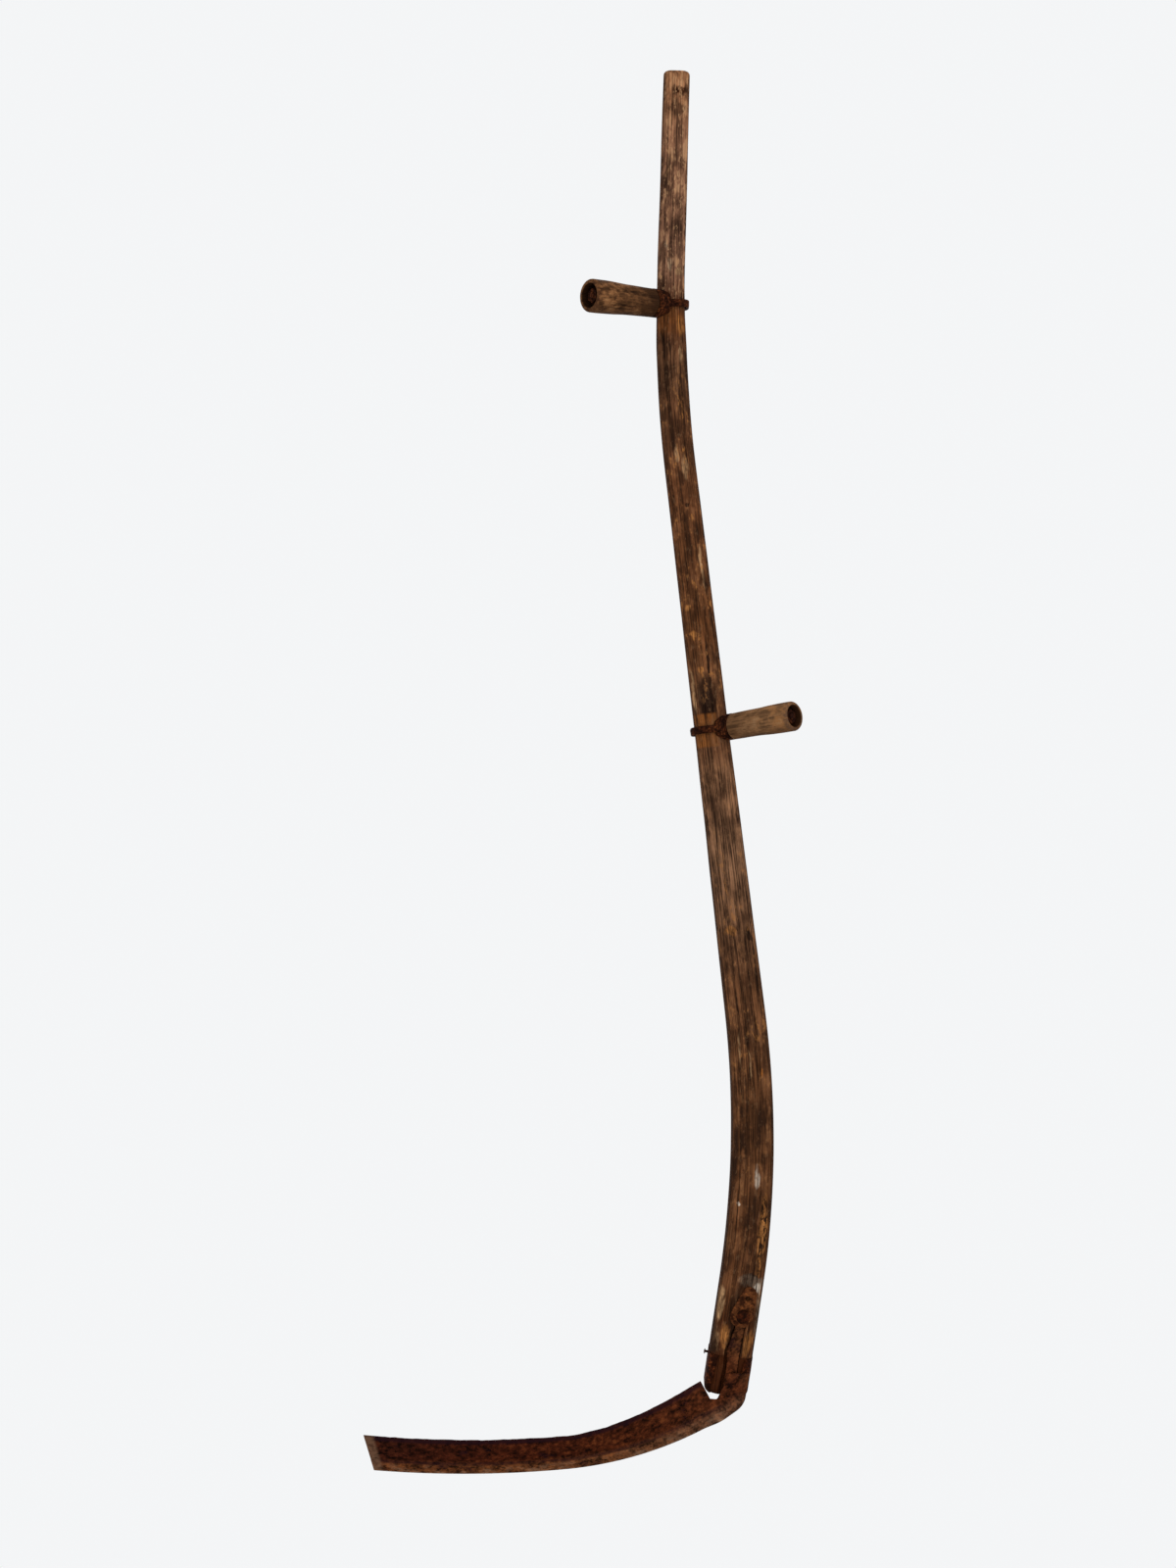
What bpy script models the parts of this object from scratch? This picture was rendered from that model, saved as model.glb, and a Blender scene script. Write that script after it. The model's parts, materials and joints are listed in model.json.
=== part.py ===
"""Scythe: a snath bent two ways, two grips clamped to it, and a short worn blade.

Metres, +Z up.  The scythe hangs upright as if on a nail under its upper grip, which is
the origin.  Its front faces -Y and its right side, seen from the front, faces +X.
Places on the snath are measured along its centreline, down from the thin top end.
"""
import math
from typing import NamedTuple

import bmesh
import bpy
from mathutils import Matrix, Vector

MM = 0.001

# Gap that is left between pieces that touch, and the play of a bolt in its hole
GAP = 0.3 * MM
HOLE_PLAY = 0.3 * MM
CUT_OVERRUN = 5 * MM

# Snath: three straight runs, corner to corner, joined by two bends.  A lean is the angle
# of a run to the vertical, going down: to the right, then to the front, in degrees.
TOP_RUN = 312.7 * MM
MIDDLE_RUN = 831.0 * MM
HEEL_RUN = 264.0 * MM
TOP_LEAN = (-1.64, 0.0)
MIDDLE_LEAN = (6.66, 3.12)
HEEL_LEAN = (-8.15, -7.63)
UPPER_BEND_RADIUS = 1450 * MM
LOWER_BEND_RADIUS = 900 * MM

# Squared section of the snath: distance from the top end, side, corner radius
SNATH_SECTIONS = (
    (0 * MM, 28.0 * MM, 8.0 * MM),
    (228 * MM, 29.4 * MM, 8.5 * MM),
    (262 * MM, 30.2 * MM, 8.5 * MM),
    (292 * MM, 32.0 * MM, 9.0 * MM),
    (702 * MM, 35.8 * MM, 10.0 * MM),
    (1000 * MM, 41.6 * MM, 10.5 * MM),
    (1190 * MM, 45.2 * MM, 11.0 * MM),
    (1330 * MM, 46.0 * MM, 11.0 * MM),
)
TOP_ROUNDING = 5 * MM
HEEL_ROUNDING = 9 * MM
CORNER_STEPS = 4
BEND_RING_STEP = 16 * MM


class Nib(NamedTuple):
    """A nib: its place on the snath, its turn from the front to the right, its grip's sizes."""

    prefix: str
    from_top: float
    turn: float
    grip_length: float
    base_radius: float
    end_radius: float
    recess_radius: float


UPPER_NIB = Nib(
    prefix="upper", from_top=247 * MM, turn=-52.5, grip_length=83 * MM,
    base_radius=15.2 * MM, end_radius=17.6 * MM, recess_radius=12.8 * MM,
)
LOWER_NIB = Nib(
    prefix="lower", from_top=700.5 * MM, turn=50.0, grip_length=80 * MM,
    base_radius=13.9 * MM, end_radius=15.6 * MM, recess_radius=11.4 * MM,
)

# Irons that clamp both nibs
LOOP_CLEARANCE = 0.4 * MM
LOOP_THICKNESS = 4 * MM
LOOP_WIDTH = 8 * MM
NIB_SHANK_RADIUS = 4 * MM
SHANK_ROOT_DEPTH = 1.3 * MM
SADDLE_WEB = 1.8 * MM
SADDLE_REACH = 13 * MM
COLLAR_THICKNESS = 1.8 * MM
COLLAR_RIM = 0.6 * MM
GRIP_END_ROUNDING = 4.5 * MM
GRIP_BORE_PLAY = 0.6 * MM
RECESS_LIP = 1.2 * MM
RECESS_DEPTH = 12 * MM
NIB_WASHER_RADIUS = 8.6 * MM
NIB_WASHER_THICKNESS = 1.5 * MM
NIB_NUT_RADIUS = 8 * MM
NIB_NUT_THICKNESS = 6 * MM
SHANK_BEYOND_NUT = 1.2 * MM

# Foot of the snath, pared down under its iron band
FERRULE_WALL = 1.1 * MM
FERRULE_LENGTH = 44 * MM
FERRULE_SHORT_OF_END = 2 * MM
FOOT_PARING = 1.2 * MM
PARING_SHOULDER = 0.4 * MM
FERRULE_SLOT_PLAY = 2.5 * MM
NAIL_RADIUS = 1.3 * MM
NAIL_HEAD_RADIUS = 2.8 * MM
NAIL_HEAD_HEIGHT = 1.3 * MM
NAIL_DEPTH = 14 * MM
LEFT_NAIL_FROM_END = 40 * MM
LEFT_NAIL_STANDS_OFF = 3.2 * MM
RIGHT_NAIL_FROM_END = 38 * MM
RIGHT_NAIL_TURN = 70

# Tang bolt and the plate under its head; across is to the right of the centreline
BOLT_FROM_END = 90 * MM
BOLT_ACROSS = 5.8 * MM
BOLT_RADIUS = 4 * MM
BOLT_HEAD_RADIUS = 7.2 * MM
BOLT_HEAD_HEIGHT = 4.2 * MM
PLATE_THICKNESS = 2.4 * MM
PLATE_LOW_RADIUS = 12 * MM
PLATE_LOW_CENTRE = (-1.7 * MM, -0.5 * MM)
PLATE_HIGH_RADIUS = 7.6 * MM
PLATE_HIGH_CENTRE = (3.3 * MM, 24.8 * MM)
PLATE_SPARE_HOLE_RADIUS = 2.7 * MM
PLATE_SPARE_HOLE = (2.2 * MM, 20.0 * MM)
BACK_WASHER_RADIUS = 9 * MM
BACK_WASHER_THICKNESS = 1.6 * MM
BACK_NUT_SIDE = 13 * MM
BACK_NUT_THICKNESS = 6.5 * MM
BOLT_BEYOND_NUT = 2.5 * MM

# Blade, shank and tang, in the tang's own plane: x to the right and y up from the bolt
TANG_TURN = 6.1
BLADE_SWING = 3.0
TANG_THICKNESS = 5 * MM
TANG_EYE_RADIUS = 8 * MM
TANG_LEFT_EDGE = ((-4.9 * MM, -15 * MM), (-6.8 * MM, -40 * MM), (-2.5 * MM, -59 * MM), (-0.9 * MM, -80 * MM))
TANG_RIGHT_EDGE = ((4.9 * MM, -15 * MM), (6.8 * MM, -44 * MM), (9 * MM, -60 * MM), (11 * MM, -80 * MM))
GROOVE_PLAY = 0.8 * MM
STEP_TOP = -64 * MM
SHANK_THICKNESS = 4 * MM
SHANK_OUTLINE = (
    (-1.4 * MM, -63.4 * MM, 0.0),
    (21.6 * MM, -57.5 * MM, 1.5 * MM),
    (25.2 * MM, -92 * MM, 24 * MM),
    (6.3 * MM, -115.2 * MM, 60 * MM),
    (-17 * MM, -133 * MM, 0.0),
    (-26.5 * MM, -116 * MM, 0.0),
    (-11.4 * MM, -94.6 * MM, 1.5 * MM),
    (-4.2 * MM, -93.4 * MM, 2.5 * MM),
    (-0.9 * MM, -78 * MM, 8 * MM),
)
BACK_START = (5.9 * MM, -113.6 * MM)
BACK_HEADING = 222.0
BACK_RUNS = ((25 * MM, 0.0), (150 * MM, 388 * MM), (201 * MM, 1150 * MM))
BLADE_WIDTHS = ((0 * MM, 47.5 * MM), (45 * MM, 44.8 * MM), (155 * MM, 36 * MM), (372 * MM, 37.5 * MM))
BLADE_RING_STEP = 16 * MM
TOE_SLANT = 14 * MM
RIB_WIDTH = 12.5 * MM
RIB_FRONT = 2.4 * MM
RIB_BACK = 1.7 * MM
RIB_SHOULDER = 2 * MM
RIB_EDGE = 0.8 * MM
WEB_THICKNESS = 1.8 * MM
EDGE_BEVEL = 5 * MM
EDGE_THICKNESS = 0.4 * MM

EYE_SHOULDER = math.radians(40)
ROUND_STEPS = 24
CIRCLE_STEPS = 20
ARC_STEPS = 12

# Colour, roughness and metallic value of each finish
WOOD = ((0.125, 0.062, 0.031), 0.72, 0.0)
GRIP_WOOD = ((0.150, 0.080, 0.040), 0.68, 0.0)
DARK_IRON = ((0.032, 0.009, 0.004), 0.62, 0.75)
BLADE_STEEL = ((0.052, 0.018, 0.007), 0.55, 0.85)


def remove_everything():
    """Start from an empty scene."""
    for item in list(bpy.data.objects):
        bpy.data.objects.remove(item, do_unlink=True)


def new_collection(name):
    """A collection of that name, linked to the scene."""
    collection = bpy.data.collections.new(name)
    bpy.context.scene.collection.children.link(collection)
    return collection


class Centreline:
    """Straight runs and arcs through three runs' corners, measured from the top end."""

    def __init__(self, start, directions, runs, radii):
        self.pieces = []
        point = start
        spent = 0.0
        distance = 0.0
        for index, run in enumerate(runs):
            direction = directions[index]
            last = index == len(radii)
            turn = 0.0 if last else direction.angle(directions[index + 1])
            tangent = 0.0 if last else radii[index] * math.tan(turn / 2)
            length = run - spent - tangent
            self.pieces.append((distance, length, point, direction, None, 0.0))
            point = point + direction * length
            distance += length
            if not last:
                inward = directions[index + 1] - direction * math.cos(turn)
                inward.normalize()
                radius = radii[index]
                self.pieces.append((distance, radius * turn, point, direction, inward, radius))
                point = point + direction * (radius * math.sin(turn)) + inward * (radius * (1 - math.cos(turn)))
                distance += radius * turn
            spent = tangent
        self.length = distance

    def at(self, distance):
        """Point of the centreline and its downward direction."""
        first, _, point, direction, inward, radius = self.pieces[0]
        for piece in self.pieces:
            if distance >= piece[0]:
                first, _, point, direction, inward, radius = piece
        along = distance - first
        if inward is None:
            return point + direction * along, direction
        angle = along / radius
        place = point + direction * (radius * math.sin(angle)) + inward * (radius * (1 - math.cos(angle)))
        return place, direction * math.cos(angle) + inward * math.sin(angle)

    def frame(self, distance):
        """Axes there: X to the right, Y to the front, Z down the snath."""
        point, down = self.at(distance)
        front = Vector((0, -1, 0))
        front = (front - down * front.dot(down)).normalized()
        return axes(front.cross(down), front, down, point)

    def bend_distances(self):
        """Distances of the rings that carry a bend."""
        found = []
        for first, length, _, _, inward, _ in self.pieces:
            if inward is not None:
                count = max(2, round(length / BEND_RING_STEP))
                found += [first + length * step / count for step in range(count + 1)]
        return found


def axes(x_axis, y_axis, z_axis, place):
    """Matrix with those axes and that origin."""
    matrix = Matrix((x_axis, y_axis, z_axis)).transposed().to_4x4()
    matrix.translation = place
    return matrix


def lean_direction(lean):
    """Downward unit vector of a run that leans right and to the front by those angles."""
    right, front = (math.tan(math.radians(angle)) for angle in lean)
    return Vector((right, -front, -1)).normalized()


def between(rows, distance):
    """Values of a table's rows, read between its distances."""
    if distance <= rows[0][0]:
        return rows[0][1:]
    for low, high in zip(rows, rows[1:]):
        if distance <= high[0]:
            share = (distance - low[0]) / (high[0] - low[0])
            return tuple(a + (b - a) * share for a, b in zip(low[1:], high[1:]))
    return rows[-1][1:]


def rounded_square(side, radius):
    """Points of a square with round corners, anticlockwise, centred on the origin."""
    centre = side / 2 - radius
    points = []
    for quarter in range(4):
        middle = math.pi / 4 + quarter * math.pi / 2
        corner_x = math.copysign(centre, math.cos(middle))
        corner_y = math.copysign(centre, math.sin(middle))
        for step in range(CORNER_STEPS + 1):
            angle = quarter * math.pi / 2 + step * math.pi / 2 / CORNER_STEPS
            points.append((corner_x + radius * math.cos(angle), corner_y + radius * math.sin(angle)))
    return points


def arc(radius, first, last, centre=(0.0, 0.0), steps=ARC_STEPS):
    """Points of an arc between two bearings in radians, both ends included."""
    turns = [first + (last - first) * step / steps for step in range(steps + 1)]
    return [(centre[0] + radius * math.cos(turn), centre[1] + radius * math.sin(turn)) for turn in turns]


def circle(radius, centre=(0.0, 0.0)):
    """Points of a circle, anticlockwise."""
    return arc(radius, 0.0, 2 * math.pi, centre, CIRCLE_STEPS)[:-1]


def eye_arc(radius):
    """Upper part of a tang's eye, from its right flank over the top to its left flank."""
    return arc(radius, -EYE_SHOULDER, math.pi + EYE_SHOULDER)


def rounded_outline(corners, steps=5):
    """Points of a closed outline whose corners (x, y, radius) are rounded by arcs."""
    points = []
    for index, (x, y, radius) in enumerate(corners):
        corner = Vector((x, y))
        if radius == 0.0:
            points.append((x, y))
            continue
        before = (Vector(corners[index - 1][:2]) - corner).normalized()
        after = (Vector(corners[(index + 1) % len(corners)][:2]) - corner).normalized()
        half = before.angle(after) / 2
        centre = corner + (before + after).normalized() * (radius / math.sin(half))
        first = corner + before * (radius / math.tan(half)) - centre
        last = corner + after * (radius / math.tan(half)) - centre
        sweep = first.angle_signed(last)
        for step in range(steps + 1):
            turned = first.copy()
            turned.rotate(Matrix.Rotation(-sweep * step / steps, 2))
            points.append(tuple(centre + turned))
    return points


def two_circle_outline(low, low_radius, high, high_radius):
    """Teardrop outline: the tight loop round two circles, anticlockwise."""
    span = Vector(high) - Vector(low)
    bearing = math.atan2(span.y, span.x)
    spread = math.acos((low_radius - high_radius) / span.length)
    upper = arc(high_radius, bearing - spread, bearing + spread, high)
    lower = arc(low_radius, bearing + spread, bearing - spread + 2 * math.pi, low)
    return upper + lower


class Workshop:
    """Makes the scythe's objects and keeps its parts apart from its cutters."""

    def __init__(self):
        self.parts = new_collection("scythe")
        self.cutters = new_collection("scythe_cutters")

    def place(self, name, mesh, frame, parent=None, cutter=False):
        """Object for a mesh, at a frame given in the world or in its parent's axes."""
        item = bpy.data.objects.new(name, mesh)
        (self.cutters if cutter else self.parts).objects.link(item)
        item.parent = parent
        item.matrix_local = frame
        if cutter:
            item.hide_render = True
            item.display_type = "WIRE"
        return item

    def empty(self, name, frame):
        """Empty whose origin lies on a joint's axis."""
        item = bpy.data.objects.new(name, None)
        self.parts.objects.link(item)
        item.empty_display_size = 20 * MM
        item.matrix_world = frame
        return item

    def loft(self, name, rings, frame, parent=None, cutter=False):
        """Closed solid through rings with the same number of points."""
        bm = bmesh.new()
        rows = [[bm.verts.new(point) for point in ring] for ring in rings]
        count = len(rows[0])
        for upper, lower in zip(rows, rows[1:]):
            for index in range(count):
                after = (index + 1) % count
                bm.faces.new((upper[index], upper[after], lower[after], lower[index]))
        bm.faces.new(rows[0])
        bm.faces.new(rows[-1])
        bmesh.ops.recalc_face_normals(bm, faces=bm.faces)
        mesh = bpy.data.meshes.new(name)
        bm.to_mesh(mesh)
        bm.free()
        return self.place(name, mesh, frame, parent, cutter)

    def flat(self, name, outlines, low, high, frame, parent=None, cutter=False):
        """Flat piece between two heights on local Z; outlines after the first are holes."""
        curve = bpy.data.curves.new(name + "_outline", "CURVE")
        curve.dimensions = "2D"
        curve.fill_mode = "BOTH"
        curve.extrude = (high - low) / 2
        for outline in outlines:
            spline = curve.splines.new("POLY")
            spline.points.add(len(outline) - 1)
            spline.use_cyclic_u = True
            for point, (x, y) in zip(spline.points, outline):
                point.co = (x, y, 0, 1)
        drawn = bpy.data.objects.new(name + "_outline", curve)
        self.cutters.objects.link(drawn)
        bpy.context.view_layer.update()
        evaluated = drawn.evaluated_get(bpy.context.evaluated_depsgraph_get())
        mesh = bpy.data.meshes.new_from_object(evaluated)
        mesh.name = name
        bpy.data.objects.remove(drawn, do_unlink=True)
        bm = bmesh.new()
        bm.from_mesh(mesh)
        bmesh.ops.remove_doubles(bm, verts=bm.verts, dist=0.001 * MM)
        bmesh.ops.translate(bm, verts=bm.verts, vec=(0, 0, (low + high) / 2))
        bmesh.ops.recalc_face_normals(bm, faces=bm.faces)
        bm.to_mesh(mesh)
        bm.free()
        mesh.materials.clear()
        return self.place(name, mesh, frame, parent, cutter)

    def turned(self, name, profile, frame, parent=None, cutter=False, ring=False):
        """Turned piece: a profile of (radius, height) down its outer side, spun about Z."""
        bm = bmesh.new()
        points = [bm.verts.new((radius, 0, height)) for radius, height in profile]
        for first, second in zip(points, points[1:]):
            bm.edges.new((first, second))
        if ring:
            bm.edges.new((points[-1], points[0]))
        mesh = bpy.data.meshes.new(name)
        bm.to_mesh(mesh)
        bm.free()
        item = self.place(name, mesh, frame, parent, cutter)
        screw = item.modifiers.new("spin", "SCREW")
        screw.axis = "Z"
        screw.steps = ROUND_STEPS
        screw.render_steps = ROUND_STEPS
        screw.use_merge_vertices = True
        screw.merge_threshold = 0.001 * MM
        screw.use_smooth_shade = True
        return item

    def prism(self, name, sides, radius, low, high, frame, parent=None):
        """Upright bar with a regular cross-section, such as a nut's."""
        bm = bmesh.new()
        bmesh.ops.create_cone(bm, cap_ends=True, segments=sides, radius1=radius, radius2=radius, depth=high - low)
        bmesh.ops.translate(bm, verts=bm.verts, vec=(0, 0, (low + high) / 2))
        mesh = bpy.data.meshes.new(name)
        bm.to_mesh(mesh)
        bm.free()
        return self.place(name, mesh, frame, parent)

    def drill(self, target, radius, low, high, frame, parent=None):
        """Round hole along local Z of a frame, from one height to the other."""
        name = target.name + "_hole"
        hole = self.turned(name, rod_profile(radius, low, high), frame, parent, cutter=True)
        self.combine(target, hole, "DIFFERENCE")

    def combine(self, target, tool, operation):
        """Cut the tool from the target, or join it on."""
        step = target.modifiers.new(tool.name, "BOOLEAN")
        step.operation = operation
        step.solver = "EXACT"
        step.object = tool


def rod_profile(radius, low, high):
    """Profile of a plain round bar between two heights."""
    return ((0, high), (radius, high), (radius, low), (0, low))


def washer_profile(bore, radius, low, high):
    """Closed profile of a plain washer, outer side first, top to bottom."""
    return ((radius, high), (radius, low), (bore, low), (bore, high))


def dress(item, finish):
    """Give an object its own material."""
    colour, roughness, metallic = finish
    material = bpy.data.materials.new(item.name)
    material.use_nodes = True
    shader = material.node_tree.nodes["Principled BSDF"]
    shader.inputs["Base Color"].default_value = (*colour, 1)
    shader.inputs["Roughness"].default_value = roughness
    shader.inputs["Metallic"].default_value = metallic
    item.data.materials.append(material)


def snath_section(distance):
    """Side and corner radius of the snath's section at a distance from the top."""
    return between(SNATH_SECTIONS, distance)


def snath_path():
    """Centreline whose upper nib station puts the nail's notch at the origin."""
    directions = [lean_direction(lean) for lean in (TOP_LEAN, MIDDLE_LEAN, HEEL_LEAN)]
    runs = (TOP_RUN, MIDDLE_RUN, HEEL_RUN)
    radii = (UPPER_BEND_RADIUS, LOWER_BEND_RADIUS)
    station, _ = Centreline(Vector((0, 0, 0)), directions, runs, radii).at(UPPER_NIB.from_top)
    side, _ = snath_section(UPPER_NIB.from_top)
    notch = Vector((side / 2, 0, UPPER_NIB.base_radius))
    return Centreline(notch - station, directions, runs, radii)


def end_rounding(from_end, radius):
    """How far a rounded end has drawn in the surface at a distance from that end."""
    if from_end >= radius:
        return 0.0
    return radius - math.sqrt(radius ** 2 - (radius - from_end) ** 2)


def foot_paring(from_end):
    """How deep the wood is pared away, at a distance from the foot's end."""
    within = (FERRULE_LENGTH + GAP + PARING_SHOULDER - from_end) / PARING_SHOULDER
    return FOOT_PARING * min(1.0, max(0.0, within))


def snath_rings(path, offset, first, last):
    """Rings of the snath's surface, moved out by an offset, between two distances."""
    shoulder = path.length - FERRULE_LENGTH - GAP
    distances = {first, last, shoulder, shoulder - PARING_SHOULDER}
    distances |= {row[0] for row in SNATH_SECTIONS}
    distances |= set(path.bend_distances())
    for turn in (0, 30, 60, 90):
        drop = 1 - math.sin(math.radians(turn))
        distances |= {drop * TOP_ROUNDING, path.length - drop * HEEL_ROUNDING}
    rings = []
    for distance in sorted(item for item in distances if first <= item <= last):
        from_end = path.length - distance
        side, radius = snath_section(distance)
        rounded = end_rounding(distance, TOP_ROUNDING) + end_rounding(from_end, HEEL_ROUNDING)
        drawn_in = rounded + foot_paring(from_end) - offset
        outline = rounded_square(side - 2 * drawn_in, radius - rounded / 2 - foot_paring(from_end) + offset)
        frame = path.frame(distance)
        rings.append([frame @ Vector((x, y, 0)) for x, y in outline])
    return rings


def heel_frame(path, from_end, across=0.0):
    """Axes on the front of the heel: X right, Y up the snath, Z out of its front face."""
    frame = path.frame(path.length - from_end)
    side, _ = snath_section(path.length - from_end)
    place = frame @ Vector((across, side / 2, 0))
    right, front, down = (frame.col[index].to_3d() for index in range(3))
    return axes(right, -down, front, place)


def tang_frame(path):
    """Axes at the bolt, turned so that Y runs up the tang."""
    bolt = heel_frame(path, BOLT_FROM_END, BOLT_ACROSS)
    return bolt @ Matrix.Rotation(math.radians(-TANG_TURN), 4, "Z")


def make_snath(shop, path):
    """The bent shaft with its tang groove and its bolt and nail holes."""
    snath = shop.loft("snath", snath_rings(path, 0.0, 0.0, path.length), Matrix())
    groove_floor = -(TANG_THICKNESS + 2 * GAP)
    groove = shop.flat(
        "tang_groove", [groove_outline()], groove_floor, CUT_OVERRUN, tang_frame(path), cutter=True
    )
    shop.combine(snath, groove, "DIFFERENCE")
    side, _ = snath_section(path.length - BOLT_FROM_END)
    bolt = heel_frame(path, BOLT_FROM_END, BOLT_ACROSS)
    shop.drill(snath, BOLT_RADIUS + HOLE_PLAY, -side - CUT_OVERRUN, CUT_OVERRUN, bolt)
    for frame in (left_nail_frame(path), right_nail_frame(path)):
        shop.drill(snath, NAIL_RADIUS + HOLE_PLAY, -NAIL_DEPTH - GAP, CUT_OVERRUN, frame)
    snath.data.shade_smooth()
    dress(snath, WOOD)


def groove_outline():
    """Groove that lets the tang swing to the left, round the eye and down past the foot."""
    swing = math.tan(math.radians(BLADE_SWING))
    left = [(x - GROOVE_PLAY + y * swing, y) for x, y in TANG_LEFT_EDGE]
    right = [(x + GROOVE_PLAY, y) for x, y in TANG_RIGHT_EDGE]
    past_foot = -BOLT_FROM_END - FERRULE_LENGTH
    foot = [(left[-1][0], past_foot), (right[-1][0], past_foot)]
    return eye_arc(TANG_EYE_RADIUS + GROOVE_PLAY) + left + foot + right[::-1]


def left_nail_frame(path):
    """Axes on the left flank of the foot, Z pointing out."""
    return nail_frame(path, LEFT_NAIL_FROM_END, 180)


def right_nail_frame(path):
    """Axes on the right front corner of the foot, Z pointing out."""
    return nail_frame(path, RIGHT_NAIL_FROM_END, RIGHT_NAIL_TURN)


def nail_frame(path, from_end, turn):
    """Axes on the pared foot, Z pointing out at an angle from the right to the front."""
    distance = path.length - from_end
    frame = path.frame(distance)
    side, radius = snath_section(distance)
    bearing = math.radians(turn)
    out = Vector((math.cos(bearing), math.sin(bearing), 0))
    centre = side / 2 - radius
    corner = Vector((math.copysign(centre, out.x), centre if turn % 180 else 0, 0))
    place = frame @ (corner + out * (radius - FOOT_PARING))
    down = frame.col[2].to_3d()
    out = frame.to_3x3() @ out
    return axes(down.cross(out), down, out, place)


def make_ferrule(shop, path):
    """Sheet-iron band round the foot, open at the front where the tang passes."""
    top = path.length - FERRULE_LENGTH
    low = path.length - FERRULE_SHORT_OF_END
    ferrule = shop.loft("heel_ferrule", snath_rings(path, GAP + FERRULE_WALL, top, low), Matrix())
    inside = snath_rings(path, GAP, top, path.length)
    above = path.frame(top).col[2].to_3d() * -CUT_OVERRUN
    inside.insert(0, [point + above for point in inside[0]])
    hollow = shop.loft("ferrule_hollow", inside, Matrix(), cutter=True)
    shop.combine(ferrule, hollow, "DIFFERENCE")
    left = min(x for x, _ in groove_outline()) - FERRULE_SLOT_PLAY
    right = max(x for x, _ in TANG_RIGHT_EDGE) + FERRULE_SLOT_PLAY
    past_foot = -BOLT_FROM_END - FERRULE_LENGTH
    slot = shop.flat(
        "ferrule_slot", [[(left, past_foot), (right, past_foot), (right, 0), (left, 0)]],
        -TANG_THICKNESS, CUT_OVERRUN, tang_frame(path), cutter=True,
    )
    shop.combine(ferrule, slot, "DIFFERENCE")
    for frame in (left_nail_frame(path), right_nail_frame(path)):
        shop.drill(ferrule, NAIL_RADIUS + HOLE_PLAY, -CUT_OVERRUN, CUT_OVERRUN, frame)
    ferrule.data.shade_smooth()
    dress(ferrule, DARK_IRON)


def make_nail(shop, name, frame, stands_off):
    """Round nail with a domed head, driven through the band into the wood."""
    seat = GAP + FERRULE_WALL + GAP + stands_off
    profile = (
        (0, seat + NAIL_HEAD_HEIGHT),
        (NAIL_HEAD_RADIUS * 0.7, seat + NAIL_HEAD_HEIGHT * 0.8),
        (NAIL_HEAD_RADIUS, seat + NAIL_HEAD_HEIGHT * 0.3),
        (NAIL_HEAD_RADIUS, seat),
        (NAIL_RADIUS, seat),
        (NAIL_RADIUS, -NAIL_DEPTH + 3 * MM),
        (0, -NAIL_DEPTH),
    )
    dress(shop.turned(name, profile, frame), DARK_IRON)


def make_plate_and_bolt(shop, path):
    """Teardrop plate over the tang's eye, and the bolt that goes through to the back."""
    frame = heel_frame(path, BOLT_FROM_END, BOLT_ACROSS)
    outlines = [
        two_circle_outline(PLATE_LOW_CENTRE, PLATE_LOW_RADIUS, PLATE_HIGH_CENTRE, PLATE_HIGH_RADIUS),
        circle(BOLT_RADIUS + HOLE_PLAY),
        circle(PLATE_SPARE_HOLE_RADIUS, PLATE_SPARE_HOLE),
    ]
    plate_top = GAP + PLATE_THICKNESS
    dress(shop.flat("heel_plate", outlines, GAP, plate_top, frame), DARK_IRON)

    side, _ = snath_section(path.length - BOLT_FROM_END)
    washer_high = -side - GAP
    washer_low = washer_high - BACK_WASHER_THICKNESS
    nut_high = washer_low - GAP
    nut_low = nut_high - BACK_NUT_THICKNESS
    head = plate_top + GAP
    profile = (
        (0, head + BOLT_HEAD_HEIGHT),
        (BOLT_HEAD_RADIUS * 0.5, head + BOLT_HEAD_HEIGHT * 0.88),
        (BOLT_HEAD_RADIUS * 0.85, head + BOLT_HEAD_HEIGHT * 0.55),
        (BOLT_HEAD_RADIUS, head + BOLT_HEAD_HEIGHT * 0.15),
        (BOLT_HEAD_RADIUS, head),
        (BOLT_RADIUS, head),
        (BOLT_RADIUS, nut_low - BOLT_BEYOND_NUT + 1 * MM),
        (BOLT_RADIUS - 1 * MM, nut_low - BOLT_BEYOND_NUT),
        (0, nut_low - BOLT_BEYOND_NUT),
    )
    dress(shop.turned("tang_bolt", profile, frame), DARK_IRON)

    bore = BOLT_RADIUS + HOLE_PLAY
    washer = washer_profile(bore, BACK_WASHER_RADIUS, washer_low, washer_high)
    dress(shop.turned("tang_bolt_washer", washer, frame, ring=True), DARK_IRON)
    corner = BACK_NUT_SIDE / math.sqrt(2)
    nut = shop.prism("tang_bolt_nut", 4, corner, nut_low, nut_high, frame)
    shop.drill(nut, bore, nut_low - CUT_OVERRUN, nut_high + CUT_OVERRUN, frame)
    dress(nut, DARK_IRON)


def blade_back():
    """Centres, headings and distances of the blade's rings, along its back from the heel."""
    point = Vector(BACK_START)
    heading = math.radians(BACK_HEADING)
    rows = [(0.0, point, heading)]
    distance = 0.0
    for length, radius in BACK_RUNS:
        count = max(1, round(length / BLADE_RING_STEP)) if radius else 1
        for _ in range(count):
            step = length / count
            turn = -step / radius if radius else 0.0
            chord = heading + turn / 2
            point = point + Vector((math.cos(chord), math.sin(chord))) * step
            heading += turn
            distance += step
            rows.append((distance, point, heading))
    return rows


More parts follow.
